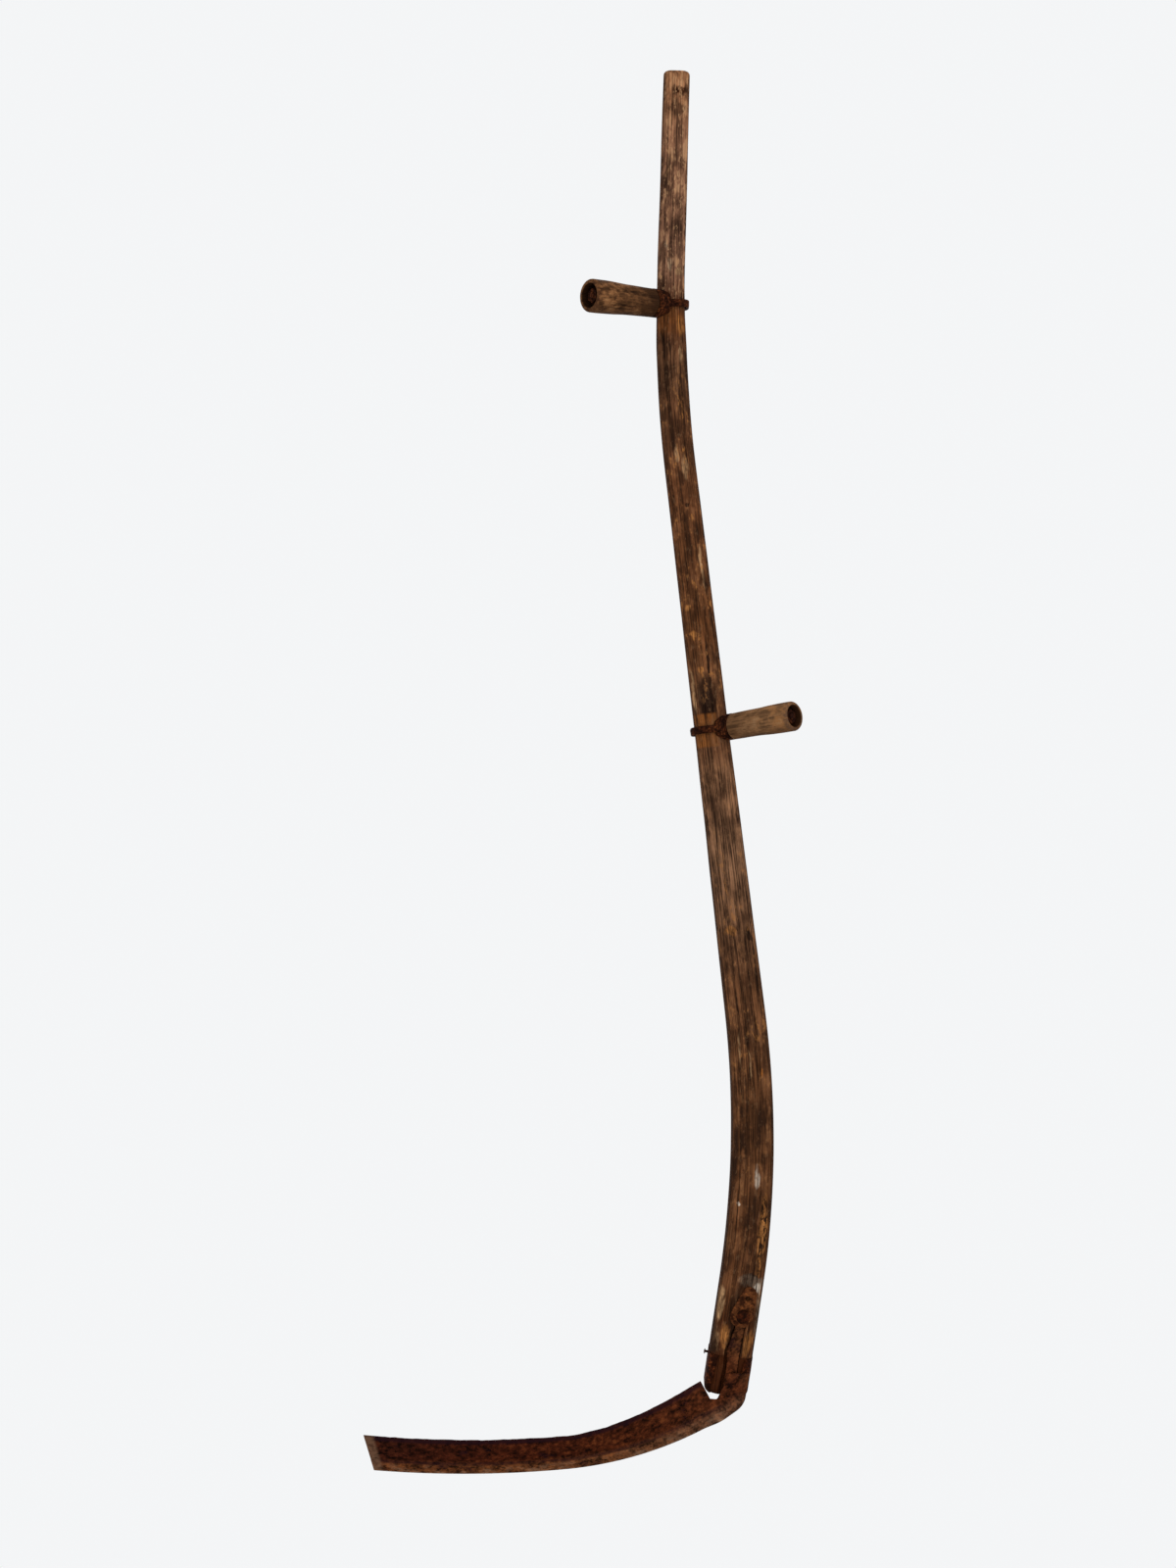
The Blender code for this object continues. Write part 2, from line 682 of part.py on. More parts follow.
def blade_section(width):
    """Points (distance from the back, height) round the blade's section."""
    web = WEB_THICKNESS / 2
    edge = EDGE_THICKNESS / 2
    return (
        (0, -RIB_BACK + RIB_EDGE),
        (0, RIB_FRONT - RIB_EDGE),
        (RIB_EDGE, RIB_FRONT),
        (RIB_WIDTH - RIB_SHOULDER, RIB_FRONT),
        (RIB_WIDTH, web),
        (width - EDGE_BEVEL, web),
        (width, edge),
        (width, -edge),
        (width - EDGE_BEVEL, -web),
        (RIB_WIDTH, -web),
        (RIB_WIDTH - RIB_SHOULDER, -RIB_BACK),
        (RIB_EDGE, -RIB_BACK),
    )


def make_blade(shop, path):
    """One forging: blade with its rib, shank over the foot, and tang in the groove."""
    frame = tang_frame(path)
    pivot = shop.empty("blade_pivot", frame)
    shank_low = FERRULE_WALL - FOOT_PARING + 2 * GAP
    middle = shank_low + SHANK_THICKNESS / 2
    back = blade_back()
    rings = []
    for distance, point, heading in back:
        (width,) = between(BLADE_WIDTHS, distance)
        along = Vector((math.cos(heading), math.sin(heading)))
        inward = Vector((along.y, -along.x))
        slant = TOE_SLANT if distance == back[-1][0] else 0.0
        ring = []
        for across, height in blade_section(width):
            place = point + inward * across + along * (slant * across / width)
            ring.append((place.x, place.y, middle + height))
        rings.append(ring)
    blade = shop.loft("blade", rings, Matrix(), pivot)

    shank = shop.flat(
        "shank", [rounded_outline(SHANK_OUTLINE)], shank_low, shank_low + SHANK_THICKNESS,
        Matrix(), pivot, cutter=True,
    )
    tang_outline = eye_arc(TANG_EYE_RADIUS) + list(TANG_LEFT_EDGE) + list(TANG_RIGHT_EDGE)[::-1]
    tang = shop.flat(
        "tang", [tang_outline], -GAP - TANG_THICKNESS, -GAP, Matrix(), pivot, cutter=True
    )
    low_left, low_right = TANG_LEFT_EDGE[-1], TANG_RIGHT_EDGE[-1]
    step_outline = [
        (low_left[0] + 1 * MM, STEP_TOP - 1 * MM), (low_left[0] + 1 * MM, low_left[1] + 1 * MM),
        (low_right[0] - 1 * MM, low_right[1] + 1 * MM), (low_right[0] - 2 * MM, STEP_TOP + 1 * MM),
    ]
    step = shop.flat(
        "tang_step", [step_outline], -GAP - TANG_THICKNESS / 2, middle, Matrix(), pivot, cutter=True
    )
    for tool in (shank, tang, step):
        shop.combine(blade, tool, "UNION")
    shop.drill(blade, BOLT_RADIUS + HOLE_PLAY, -2 * TANG_THICKNESS, TANG_THICKNESS, Matrix(), pivot)
    dress(blade, BLADE_STEEL)


def make_nib(shop, path, nib):
    """Grip with its bolt loop, saddle, collar, washer and nut, along its own axis Z."""
    prefix = nib.prefix
    station = path.frame(nib.from_top)
    side, corner = snath_section(nib.from_top)
    angle = math.radians(nib.turn)
    right, front, down = (station.col[index].to_3d() for index in range(3))
    outward = right * math.sin(angle) + front * math.cos(angle)
    frame = axes(outward.cross(down), -down, outward, station.translation)
    axis = shop.empty(prefix + "_nib_axis", frame)
    to_station = frame.inverted() @ station

    inner_side = side + 2 * LOOP_CLEARANCE
    inner_corner = corner + LOOP_CLEARANCE
    outer_side = inner_side + 2 * LOOP_THICKNESS
    outer_corner = inner_corner + LOOP_THICKNESS
    reach = squared_reach(outer_side, outer_corner, angle)
    web_low = reach + GAP
    web_high = web_low + SADDLE_WEB
    collar_low = web_high + GAP
    collar_high = collar_low + COLLAR_THICKNESS
    grip_low = collar_high + GAP
    grip_high = grip_low + nib.grip_length
    washer_low = grip_high - RECESS_DEPTH + GAP
    washer_high = washer_low + NIB_WASHER_THICKNESS
    nut_low = washer_high + GAP
    nut_high = nut_low + NIB_NUT_THICKNESS

    outlines = [rounded_square(outer_side, outer_corner), rounded_square(inner_side, inner_corner)]
    loop = shop.flat(
        prefix + "_nib_loop", outlines, -LOOP_WIDTH / 2, LOOP_WIDTH / 2, to_station, axis
    )
    shank_profile = (
        (0, nut_high + SHANK_BEYOND_NUT),
        (NIB_SHANK_RADIUS - 1 * MM, nut_high + SHANK_BEYOND_NUT),
        (NIB_SHANK_RADIUS, nut_high + SHANK_BEYOND_NUT - 1 * MM),
        (NIB_SHANK_RADIUS, reach - SHANK_ROOT_DEPTH),
        (0, reach - SHANK_ROOT_DEPTH),
    )
    shank = shop.turned(prefix + "_nib_shank", shank_profile, Matrix(), axis, cutter=True)
    shop.combine(loop, shank, "UNION")
    dress(loop, DARK_IRON)

    saddle = shop.turned(
        prefix + "_nib_saddle", rod_profile(nib.base_radius, web_high - SADDLE_REACH, web_high), Matrix(), axis
    )
    low_side, low_corner = snath_section(nib.from_top + nib.base_radius)
    seat = shop.flat(
        prefix + "_saddle_seat", [rounded_square(low_side + 2 * GAP, low_corner + GAP)],
        -2 * nib.base_radius, 2 * nib.base_radius, to_station, axis, cutter=True,
    )
    channel_half = LOOP_WIDTH / 2 + GAP
    channel = shop.flat(
        prefix + "_saddle_channel", [rounded_square(outer_side + 2 * GAP, outer_corner + GAP)],
        -channel_half, channel_half, to_station, axis, cutter=True,
    )
    shop.combine(saddle, seat, "DIFFERENCE")
    shop.combine(saddle, channel, "DIFFERENCE")
    shop.drill(saddle, NIB_SHANK_RADIUS + HOLE_PLAY, 0, web_high + CUT_OVERRUN, Matrix(), axis)
    dress(saddle, DARK_IRON)

    bore = NIB_SHANK_RADIUS + HOLE_PLAY
    flat_radius = nib.base_radius - COLLAR_RIM
    collar_profile = (
        (flat_radius, collar_high), (nib.base_radius, collar_high - COLLAR_RIM),
        (nib.base_radius, collar_low + COLLAR_RIM), (flat_radius, collar_low),
        (bore, collar_low), (bore, collar_high),
    )
    dress(shop.turned(prefix + "_nib_collar", collar_profile, Matrix(), axis, ring=True), DARK_IRON)

    grip = shop.turned(prefix + "_nib_grip", grip_profile(nib, grip_low, grip_high), Matrix(), axis, ring=True)
    dress(grip, GRIP_WOOD)
    washer = washer_profile(bore, NIB_WASHER_RADIUS, washer_low, washer_high)
    dress(shop.turned(prefix + "_nib_washer", washer, Matrix(), axis, ring=True), DARK_IRON)
    nut = shop.prism(prefix + "_nib_nut", 6, NIB_NUT_RADIUS, nut_low, nut_high, Matrix(), axis)
    shop.drill(nut, bore, nut_low - CUT_OVERRUN, nut_high + CUT_OVERRUN, Matrix(), axis)
    dress(nut, DARK_IRON)


def squared_reach(side, radius, angle):
    """Distance from the centre to a rounded square's edge, at an angle from its front."""
    out = Vector((abs(math.sin(angle)), math.cos(angle)))
    centre = Vector((side / 2 - radius, side / 2 - radius))
    along = centre.dot(out)
    aside = centre.length_squared - along ** 2
    return along + math.sqrt(radius ** 2 - aside)


def grip_profile(nib, low, high):
    """Closed profile of a grip: round end, swelling side, bore and hollowed end."""
    bore = NIB_SHANK_RADIUS + GRIP_BORE_PLAY
    lip_radius = nib.recess_radius + RECESS_LIP
    rounding = min(GRIP_END_ROUNDING, nib.end_radius - lip_radius)
    swell = high - rounding
    centre = (nib.end_radius - rounding, swell)
    profile = [(lip_radius, high)] if lip_radius < centre[0] else []
    profile += arc(rounding, math.pi / 2, 0.0, centre, 4)
    for share in (0.35, 0.7, 0.97):
        ease = share * share * (3 - 2 * share)
        radius = nib.end_radius + (nib.base_radius - nib.end_radius) * ease
        profile.append((radius, swell + (low - swell) * share))
    profile.append((nib.base_radius - COLLAR_RIM, low))
    profile.append((bore, low))
    profile.append((bore, high - RECESS_DEPTH))
    profile.append((nib.recess_radius, high - RECESS_DEPTH))
    profile.append((nib.recess_radius, high - RECESS_LIP))
    return profile


def make_scythe():
    """Build every piece of the scythe."""
    remove_everything()
    shop = Workshop()
    path = snath_path()
    make_snath(shop, path)
    make_ferrule(shop, path)
    make_nail(shop, "ferrule_nail_left", left_nail_frame(path), LEFT_NAIL_STANDS_OFF)
    make_nail(shop, "ferrule_nail_right", right_nail_frame(path), 0.0)
    make_plate_and_bolt(shop, path)
    make_blade(shop, path)
    make_nib(shop, path, UPPER_NIB)
    make_nib(shop, path, LOWER_NIB)


make_scythe()
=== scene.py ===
import json
import logging
import math
from dataclasses import dataclass, field
from enum import Enum
from typing import Callable, Dict, List, Optional, Sequence, Tuple, Union

import bmesh
import bpy
from mathutils import Matrix, Vector, kdtree, noise


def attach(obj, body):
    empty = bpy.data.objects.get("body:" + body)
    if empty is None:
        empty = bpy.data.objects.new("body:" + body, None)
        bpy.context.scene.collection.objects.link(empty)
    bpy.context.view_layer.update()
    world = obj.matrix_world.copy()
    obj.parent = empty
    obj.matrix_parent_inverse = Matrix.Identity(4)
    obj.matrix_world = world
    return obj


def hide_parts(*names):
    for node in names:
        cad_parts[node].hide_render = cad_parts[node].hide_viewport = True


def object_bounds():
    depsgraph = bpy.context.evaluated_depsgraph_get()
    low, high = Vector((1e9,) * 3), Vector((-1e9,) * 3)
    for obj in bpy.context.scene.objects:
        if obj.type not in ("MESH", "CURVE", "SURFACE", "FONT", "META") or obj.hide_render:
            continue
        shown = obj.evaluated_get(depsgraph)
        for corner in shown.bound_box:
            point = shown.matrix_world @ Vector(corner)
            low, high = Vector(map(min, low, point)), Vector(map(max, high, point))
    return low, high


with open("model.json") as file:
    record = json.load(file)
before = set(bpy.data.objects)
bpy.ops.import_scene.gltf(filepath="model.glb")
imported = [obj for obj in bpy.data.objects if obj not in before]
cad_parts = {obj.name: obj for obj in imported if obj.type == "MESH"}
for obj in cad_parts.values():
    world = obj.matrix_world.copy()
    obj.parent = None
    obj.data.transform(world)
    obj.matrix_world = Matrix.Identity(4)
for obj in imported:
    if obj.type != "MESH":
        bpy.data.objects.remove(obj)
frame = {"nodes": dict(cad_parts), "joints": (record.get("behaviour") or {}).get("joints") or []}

LOG = logging.getLogger("scythe")
MM = 0.001
CAD_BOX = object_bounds()
GRAIN = "grain"         # mesh attribute that carries each point's place in the grain
DULL = 0.03             # specular level of every finish
CLEAR = 5 * MM          # how far a cutter stands out of what it cuts
PLAN_CORNER = 0.5       # rounding of the square plan, as a share of its half side
CORNER_STEPS = 8        # segments of a rounded corner of a flat outline

Colour = Tuple[float, float, float]
Stops = Tuple[Tuple[float, Colour], ...]
Feed = Union["Socket", float, Tuple[float, ...]]
Grain = Callable[[Vector], Vector]


class Slot(Enum):
    """Material slots of the record, which each piece carries as a label."""

    SNATH = "snath"
    UPPER_GRIP = "upper_grip"
    LOWER_GRIP = "lower_grip"
    FITTINGS = "fittings"
    BLADE = "blade"


class Tone(Enum):
    """Colours of the marks that age leaves on wood, and of painted shadow beside the foot irons."""

    SOOT_AND_SHADOW = (0.012, 0.005, 0.003)
    DEEP_RUST = (0.045, 0.011, 0.003)
    RUST = (0.230, 0.076, 0.016)
    TORN = (0.340, 0.135, 0.036)
    TAN = (0.360, 0.205, 0.100)
    GREY = (0.130, 0.090, 0.062)
    STRAW = (0.300, 0.195, 0.120)
    CHALK = (0.480, 0.400, 0.320)


class Work(Enum):
    """Ways to work one mesh with another."""

    CUT = "DIFFERENCE"
    JOIN = "UNION"


# ---------------------------------------------------------------- shader maths


class Socket:
    """Output of a shader node. Arithmetic on it adds Math nodes to its tree."""

    def __init__(self, tree: "ShaderTree", output: bpy.types.NodeSocket) -> None:
        """Hold an output and the tree that it belongs to."""
        self.tree = tree
        self.output = output

    def math(self, operation: str, *feeds: Feed) -> "Socket":
        """Value of one Math node, from its operation and its operands in order."""
        return self.tree.node("ShaderNodeMath", {"operation": operation}, dict(enumerate(feeds)))

    def __add__(self, other: Feed) -> "Socket":
        """Sum."""
        return self.math("ADD", self, other)

    def __radd__(self, other: Feed) -> "Socket":
        """Sum, with the socket second."""
        return self.math("ADD", other, self)

    def __sub__(self, other: Feed) -> "Socket":
        """Difference."""
        return self.math("SUBTRACT", self, other)

    def __rsub__(self, other: Feed) -> "Socket":
        """Difference, with the socket taken away."""
        return self.math("SUBTRACT", other, self)

    def __mul__(self, other: Feed) -> "Socket":
        """Product."""
        return self.math("MULTIPLY", self, other)

    def __rmul__(self, other: Feed) -> "Socket":
        """Product, with the socket second."""
        return self.math("MULTIPLY", other, self)

    def __truediv__(self, other: Feed) -> "Socket":
        """Quotient."""
        return self.math("DIVIDE", self, other)

    def __abs__(self) -> "Socket":
        """Size without its sign."""
        return self.math("ABSOLUTE", self)

    def rise(self, low: float, high: float) -> "Socket":
        """Smooth step from 0 at the first value to 1 at the second."""
        feeds = {"Value": self, "From Min": low, "From Max": high}
        return self.tree.node("ShaderNodeMapRange", {"interpolation_type": "SMOOTHSTEP"}, feeds)

    def near(self, centre: float, reach: float, fade: float) -> "Socket":
        """Window that is 1 within a reach of the centre and fades out past it."""
        return 1.0 - abs(self - centre).rise(reach, reach + fade)


class ShaderTree:
    """Node tree of one material."""

    def __init__(self, name: str) -> None:
        """Start a material.

        Args:
            name: its name.
        """
        self.material = bpy.data.materials.new(name)
        self.material.use_nodes = True
        self.nodes = self.material.node_tree.nodes
        self.shader = self.nodes["Principled BSDF"]

    def feed(self, socket: bpy.types.NodeSocket, feed: Feed) -> None:
        """Link a socket to another, or set its value.

        Args:
            socket: the input.
            feed: what goes into it.
        """
        if isinstance(feed, Socket):
            self.material.node_tree.links.new(feed.output, socket)
        elif isinstance(feed, tuple) and len(feed) == 3 and len(socket.default_value) == 4:
            socket.default_value = (*feed, 1.0)
        else:
            socket.default_value = feed

    def node(self, kind: str, settings: Dict[str, object], feeds: Dict[object, Feed],
             output: int = 0) -> Socket:
        """Add any node.

        Args:
            kind: the node's type.
            settings: its properties; "stops" are a ramp's (position, colour) pairs.
            feeds: what goes into its inputs, by name or number.
            output: number of the output that is wanted.

        Returns:
            That output.
        """
        made = self.nodes.new(kind)
        for name, value in settings.items():
            if name == "stops":
                self._set_stops(made.color_ramp, value)
            else:
                setattr(made, name, value)
        for key, feed in feeds.items():
            self.feed(made.inputs[key], feed)
        return Socket(self, made.outputs[output])

    @staticmethod
    def _set_stops(ramp: bpy.types.ColorRamp, stops: Stops) -> None:
        """Give a ramp its stops.

        Args:
            ramp: the ramp.
            stops: positions and colours, in order.
        """
        while len(ramp.elements) < len(stops):
            ramp.elements.new(1.0)
        for element, (position, colour) in zip(ramp.elements, stops):
            element.position = position
            element.color = (*colour, 1.0)

    def grain(self) -> Socket:
        """Place along and across the piece, as its mesh carries it."""
        settings = {"attribute_name": GRAIN, "attribute_type": "GEOMETRY"}
        return self.node("ShaderNodeAttribute", settings, {}, output=1)

    def split(self, vector: Socket) -> Tuple[Socket, Socket, Socket]:
        """The three parts of a vector.

        Args:
            vector: the vector.

        Returns:
            Its X, Y and Z.
        """
        first = self.node("ShaderNodeSeparateXYZ", {}, {0: vector})
        outputs = first.output.node.outputs
        return first, Socket(self, outputs[1]), Socket(self, outputs[2])

    def noise(self, place: Socket, per_metre: Tuple[float, float, float], detail: float = 3.0,
              rough: float = 0.55, twist: float = 0.0, output: int = 0) -> Socket:
        """Cloudy noise from 0 to 1, stretched by how often it repeats each way.

        Args:
            place: where it is read.
            per_metre: repeats per metre along X, Y and Z.
            detail: number of finer layers.
            rough: strength of the finer layers.
            twist: how far it is distorted.
            output: 0 for a value, 1 for a colour of three values.

        Returns:
            The noise.
        """
        scaled = self.node("ShaderNodeVectorMath", {"operation": "MULTIPLY"}, {0: place, 1: per_metre})
        feeds = {"Vector": scaled, "Scale": 1.0, "Detail": detail, "Roughness": rough, "Distortion": twist}
        return self.node("ShaderNodeTexNoise", {"noise_dimensions": "3D"}, feeds, output)

    def ramp(self, value: Socket, stops: Stops) -> Socket:
        """Colour at a place on a ramp of positions and colours."""
        return self.node("ShaderNodeValToRGB", {"stops": stops}, {0: value})

    def mix(self, share: Feed, first: Feed, second: Feed) -> Socket:
        """Blend of two colours, with that share of the second."""
        return self.node("ShaderNodeMix", {"data_type": "RGBA"}, {0: share, 6: first, 7: second}, output=2)

    def shade(self, colour: Feed, strength: Feed) -> Socket:
        """Colour made lighter or darker by a factor."""
        return self.node("ShaderNodeVectorMath", {"operation": "SCALE"}, {0: colour, 3: strength})

    def spot(self, place: Socket, centre: Tuple[float, ...], reach: Tuple[float, ...]) -> Socket:
        """Soft-edged oval, 1 inside and 0 outside.

        Args:
            place: where it is read.
            centre: its middle.
            reach: half its size each way.

        Returns:
            The oval.
        """
        scale = tuple(1.0 / size for size in reach)
        shift = tuple(-middle / size for middle, size in zip(centre, reach))
        feeds = {0: place, 1: scale, 2: shift}
        moved = self.node("ShaderNodeVectorMath", {"operation": "MULTIPLY_ADD"}, feeds)
        gap = self.node("ShaderNodeVectorMath", {"operation": "LENGTH"}, {0: moved}, output=1)
        return gap.rise(1.15, 0.6)

    def surface(self, colour: Feed, roughness: Feed, metallic: Feed, height: Socket,
                depth: float) -> bpy.types.Material:
        """Feed the shader and give back the material.

        Args:
            colour: base colour.
            roughness: roughness.
            metallic: share of bare metal.
            height: height of the relief, about 0 to 1.
            depth: what a height of 1 stands for, in metres.

        Returns:
            The material.
        """
        bump = self.node("ShaderNodeBump", {}, {"Strength": 1.0, "Distance": depth, "Height": height})
        self.shader.inputs["Specular IOR Level"].default_value = DULL
        feeds = {"Base Color": colour, "Roughness": roughness, "Metallic": metallic, "Normal": bump}
        for name, feed in feeds.items():
            self.feed(self.shader.inputs[name], feed)
        return self.material


# ---------------------------------------------------------------- finishes


@dataclass(frozen=True)
class Mark:
    """Stain, fleck, scar or painted shadow on the front of the snath, in its straightened place.

    It sits to the right of the centreline and down from the top end. Its width and length are
    half sizes.
    """

    right: float
    down: float
    wide: float
    long: float
    tone: Tone
    strength: float

    @classmethod
    def from_row(cls, right: float, down: float, wide: float, long: float, tone: Tone,
                 strength: float) -> "Mark":
        """Mark whose place and size are given in millimetres."""
        return cls(right * MM, down * MM, wide * MM, long * MM, tone, strength)


# right, down, half width and half length in millimetres, tone, strength
MARK_ROWS = (
    (4, 23, 8, 6, Tone.DEEP_RUST, 1.0),
    (0, 38, 14, 6, Tone.SOOT_AND_SHADOW, 0.55),
    (-9, 116, 6, 11, Tone.SOOT_AND_SHADOW, 0.65),
    (2, 96, 14, 8, Tone.SOOT_AND_SHADOW, 0.35),
    (5, 168, 7, 9, Tone.SOOT_AND_SHADOW, 0.55),
    (-6, 183, 3, 5, Tone.STRAW, 0.8),
    (-2, 205, 3, 9, Tone.STRAW, 0.9),
    (6, 214, 3, 7, Tone.TAN, 0.8),
    (-9, 226, 5, 9, Tone.SOOT_AND_SHADOW, 0.7),
    (-4, 252, 9, 10, Tone.SOOT_AND_SHADOW, 0.6),
    (9, 270, 4, 11, Tone.TORN, 0.7),
    (9, 300, 2.5, 10, Tone.TAN, 0.7),
    (-5, 292, 6, 12, Tone.SOOT_AND_SHADOW, 0.5),
    (-4, 405, 3, 10, Tone.TAN, 0.7),
    (5, 418, 4, 16, Tone.TAN, 0.65),
    (1, 430, 4, 8, Tone.SOOT_AND_SHADOW, 0.75),
    (3, 456, 4, 3, Tone.SOOT_AND_SHADOW, 0.85),
    (-3, 520, 7, 30, Tone.SOOT_AND_SHADOW, 0.4),
    (10, 531, 1.5, 24, Tone.TAN, 0.8),
    (-10, 570, 3.5, 3.5, Tone.TORN, 0.9),
    (-8, 601, 5, 4, Tone.TORN, 0.9),
    (-5, 636, 4, 5, Tone.TORN, 0.85),
    (5, 624, 1.6, 32, Tone.SOOT_AND_SHADOW, 0.9),
    (-1, 663, 13, 24, Tone.SOOT_AND_SHADOW, 0.85),
    (-1, 672, 9, 17, Tone.SOOT_AND_SHADOW, 0.7),
    (-15, 660, 1.4, 26, Tone.TAN, 0.8),
    (-6, 918, 7, 6, Tone.TORN, 0.75),
    (13, 918, 4, 8, Tone.SOOT_AND_SHADOW, 0.85),
    (2, 1010, 8, 40, Tone.SOOT_AND_SHADOW, 0.4),
    (-9, 1035, 1.5, 20, Tone.TAN, 0.8),
    (-1, 1052, 1.3, 12, Tone.TAN, 0.7),
    (10, 1056, 2, 4, Tone.RUST, 0.95),
    (6, 1120, 7, 16, Tone.SOOT_AND_SHADOW, 0.45),
    (5, 1168, 2.8, 11, Tone.CHALK, 0.6),
    (-13, 1200, 2, 3, Tone.CHALK, 0.65),
    (14, 1230, 5.5, 42, Tone.TORN, 0.9),
    (10, 1272, 6, 3, Tone.SOOT_AND_SHADOW, 0.95),
    (11, 1278, 16, 8, Tone.GREY, 0.9),
    (18, 1285, 5, 7, Tone.CHALK, 0.85),
    (21, 1314, 3.5, 26, Tone.STRAW, 0.85),
    (-20, 1308, 3.8, 20, Tone.TAN, 1.0),
    (-19, 1346, 4, 18, Tone.TAN, 0.45),
    (-9, 1342, 6, 14, Tone.TORN, 0.7),
    (15, 1344, 6, 16, Tone.TORN, 0.6),
    # the next two rows are painted shadow: a dark line down the left side of the heel plate and in the gap
    # beside the tang
    (-4, 1304, 4, 24, Tone.SOOT_AND_SHADOW, 0.7),
    (-3, 1346, 2.5, 24, Tone.SOOT_AND_SHADOW, 0.85),
)


@dataclass(frozen=True)
class WeatheredWood:
    """Old bent snath: brown heart, pale dry fibres, black checks and rust from its irons.

    The grain gives X to the right, Y to the front and Z down from the top end.
    """

    length: float
    upper_iron: float
    lower_iron: float
    foot_iron: float
    top_half: float = 14 * MM
    widening: float = 0.0068
    mark_depth: float = 15 * MM
    wander: Tuple[float, float] = (12 * MM, 36 * MM)    # sway of the marks' outlines, across and along
    torn_length: float = 20 * MM                        # longer scars than this have black pits
    band_height: float = 48 * MM                        # rust of the foot band, from the foot up
    tones: Stops = (
        (0.000, (0.315, 0.140, 0.064)),
        (0.024, (0.285, 0.125, 0.058)),
        (0.045, (0.215, 0.098, 0.052)),
        (0.150, (0.215, 0.102, 0.058)),
        (0.185, (0.102, 0.037, 0.015)),
        (0.225, (0.086, 0.037, 0.017)),
        (0.320, (0.116, 0.042, 0.016)),
        (0.430, (0.110, 0.040, 0.014)),
        (0.520, (0.155, 0.071, 0.034)),
        (0.600, (0.168, 0.083, 0.043)),
        (0.690, (0.106, 0.043, 0.018)),
        (0.800, (0.100, 0.038, 0.014)),
        (0.900, (0.088, 0.032, 0.012)),
        (1.000, (0.080, 0.028, 0.010)),
    )
    pale: Colour = (0.42, 0.232, 0.118)
    brown_black: Colour = (0.024, 0.010, 0.005)
    marks: Tuple[Mark, ...] = tuple(Mark.from_row(*row) for row in MARK_ROWS)

    def make(self) -> bpy.types.Material:
        """Build the material.

        Returns:
            The material.
        """
        tree = ShaderTree("weathered_wood")
        grain = tree.grain()
        right, _, down = tree.split(grain)
        fibre = tree.noise(grain, (620, 620, 24), detail=3, rough=0.65)
        streak = tree.noise(grain, (270, 270, 11), detail=4, rough=0.6, twist=0.5)
        band = tree.noise(grain, (85, 85, 5), detail=3, rough=0.55, twist=0.5)
        blotch = tree.noise(grain, (72, 72, 38), detail=5, rough=0.66)
        cloud = tree.noise(grain, (27, 27, 13), detail=4, rough=0.6)
        crumb = tree.noise(grain, (300, 300, 125), detail=3, rough=0.65)
        checked = tree.noise(grain, (420, 420, 6), detail=2, rough=0.5)
        checks = (1.0 - abs(checked - 0.5).rise(0.005, 0.03)) * band.rise(0.44, 0.58)

        colour = tree.ramp(down / self.length, self.tones)
        colour = self._marked(tree, self._stained(tree, colour, down, blotch), grain, blotch, crumb)
        weave = 0.12 + 0.68 * fibre.rise(0.4, 0.6) + 0.6 * streak.rise(0.4, 0.6)
        colour = tree.shade(colour, weave + 0.46 * blotch.rise(0.38, 0.62))
        worn = self._seats(right, down) * (0.45 + 0.55 * blotch.rise(0.4, 0.54))
        colour = tree.mix(worn * 0.85, colour, Tone.RUST.value)
        dark = cloud.rise(0.54, 0.42) * 0.5 + band.rise(0.5, 0.42) * 0.5
        colour = tree.mix(dark * (0.3 + 0.7 * blotch.rise(0.6, 0.42)), colour, self.brown_black)

        upper_run = down.rise(self.upper_iron + 10 * MM, self.upper_iron - 20 * MM)
        dry = blotch.rise(0.5, 0.6) * streak.rise(0.44, 0.58) * (0.08 + 0.6 * upper_run)
        dry = dry + crumb.rise(0.57, 0.64) * (0.1 + 0.5 * upper_run)
        colour = tree.mix(dry, colour, self.pale)
        middle = down.near(0.5, 0.13, 0.06) * 0.5 + down.near(0.95, 0.09, 0.05) * 0.3
        flecks = blotch.rise(0.52, 0.6) * crumb.rise(0.52, 0.6)
        colour = tree.mix(flecks * (0.14 + middle), colour, Tone.TORN.value)

        foot = down.rise(self.length - self.band_height, self.length - self.band_height + 5 * MM)
        colour = tree.mix(foot * 0.88, colour, Tone.DEEP_RUST.value)
        # painted shade: the wood darkens towards both sides of the snath, where its rounded corners turn
        # away from the light
        reach = abs(right) / (self.top_half + self.widening * down)
        colour = tree.mix(reach.rise(0.84, 0.99) * 0.6, colour, self.brown_black)
        colour = tree.mix(checks * 0.75, colour, Tone.SOOT_AND_SHADOW.value)
        roughness = 0.74 + 0.18 * fibre - 0.06 * band
        height = 0.5 * fibre + 0.7 * streak + 0.3 * crumb + 0.4 * blotch - 0.9 * checks
        return tree.surface(colour, roughness, 0.0, height, 0.9 * MM)

    def _stained(self, tree: ShaderTree, colour: Socket, down: Socket, blotch: Socket) -> Socket:
        """Rust that has spread into the wood round each iron.

        Args:
            tree: the material's tree.
            colour: the wood's colour.
            down: distance from the top end.
            blotch: what breaks the stain up.

        Returns:
            The stained colour.
        """
        stain = down.near(self.upper_iron + 8 * MM, 14 * MM, 26 * MM)
        stain = stain.math("MAXIMUM", stain, down.near(self.lower_iron, 22 * MM, 26 * MM))
        stain = stain.math("MAXIMUM", stain, down.near(self.foot_iron + 12 * MM, 34 * MM, 30 * MM))
        return tree.mix(stain * blotch.rise(0.3, 0.55) * 0.5, colour, Tone.DEEP_RUST.value)

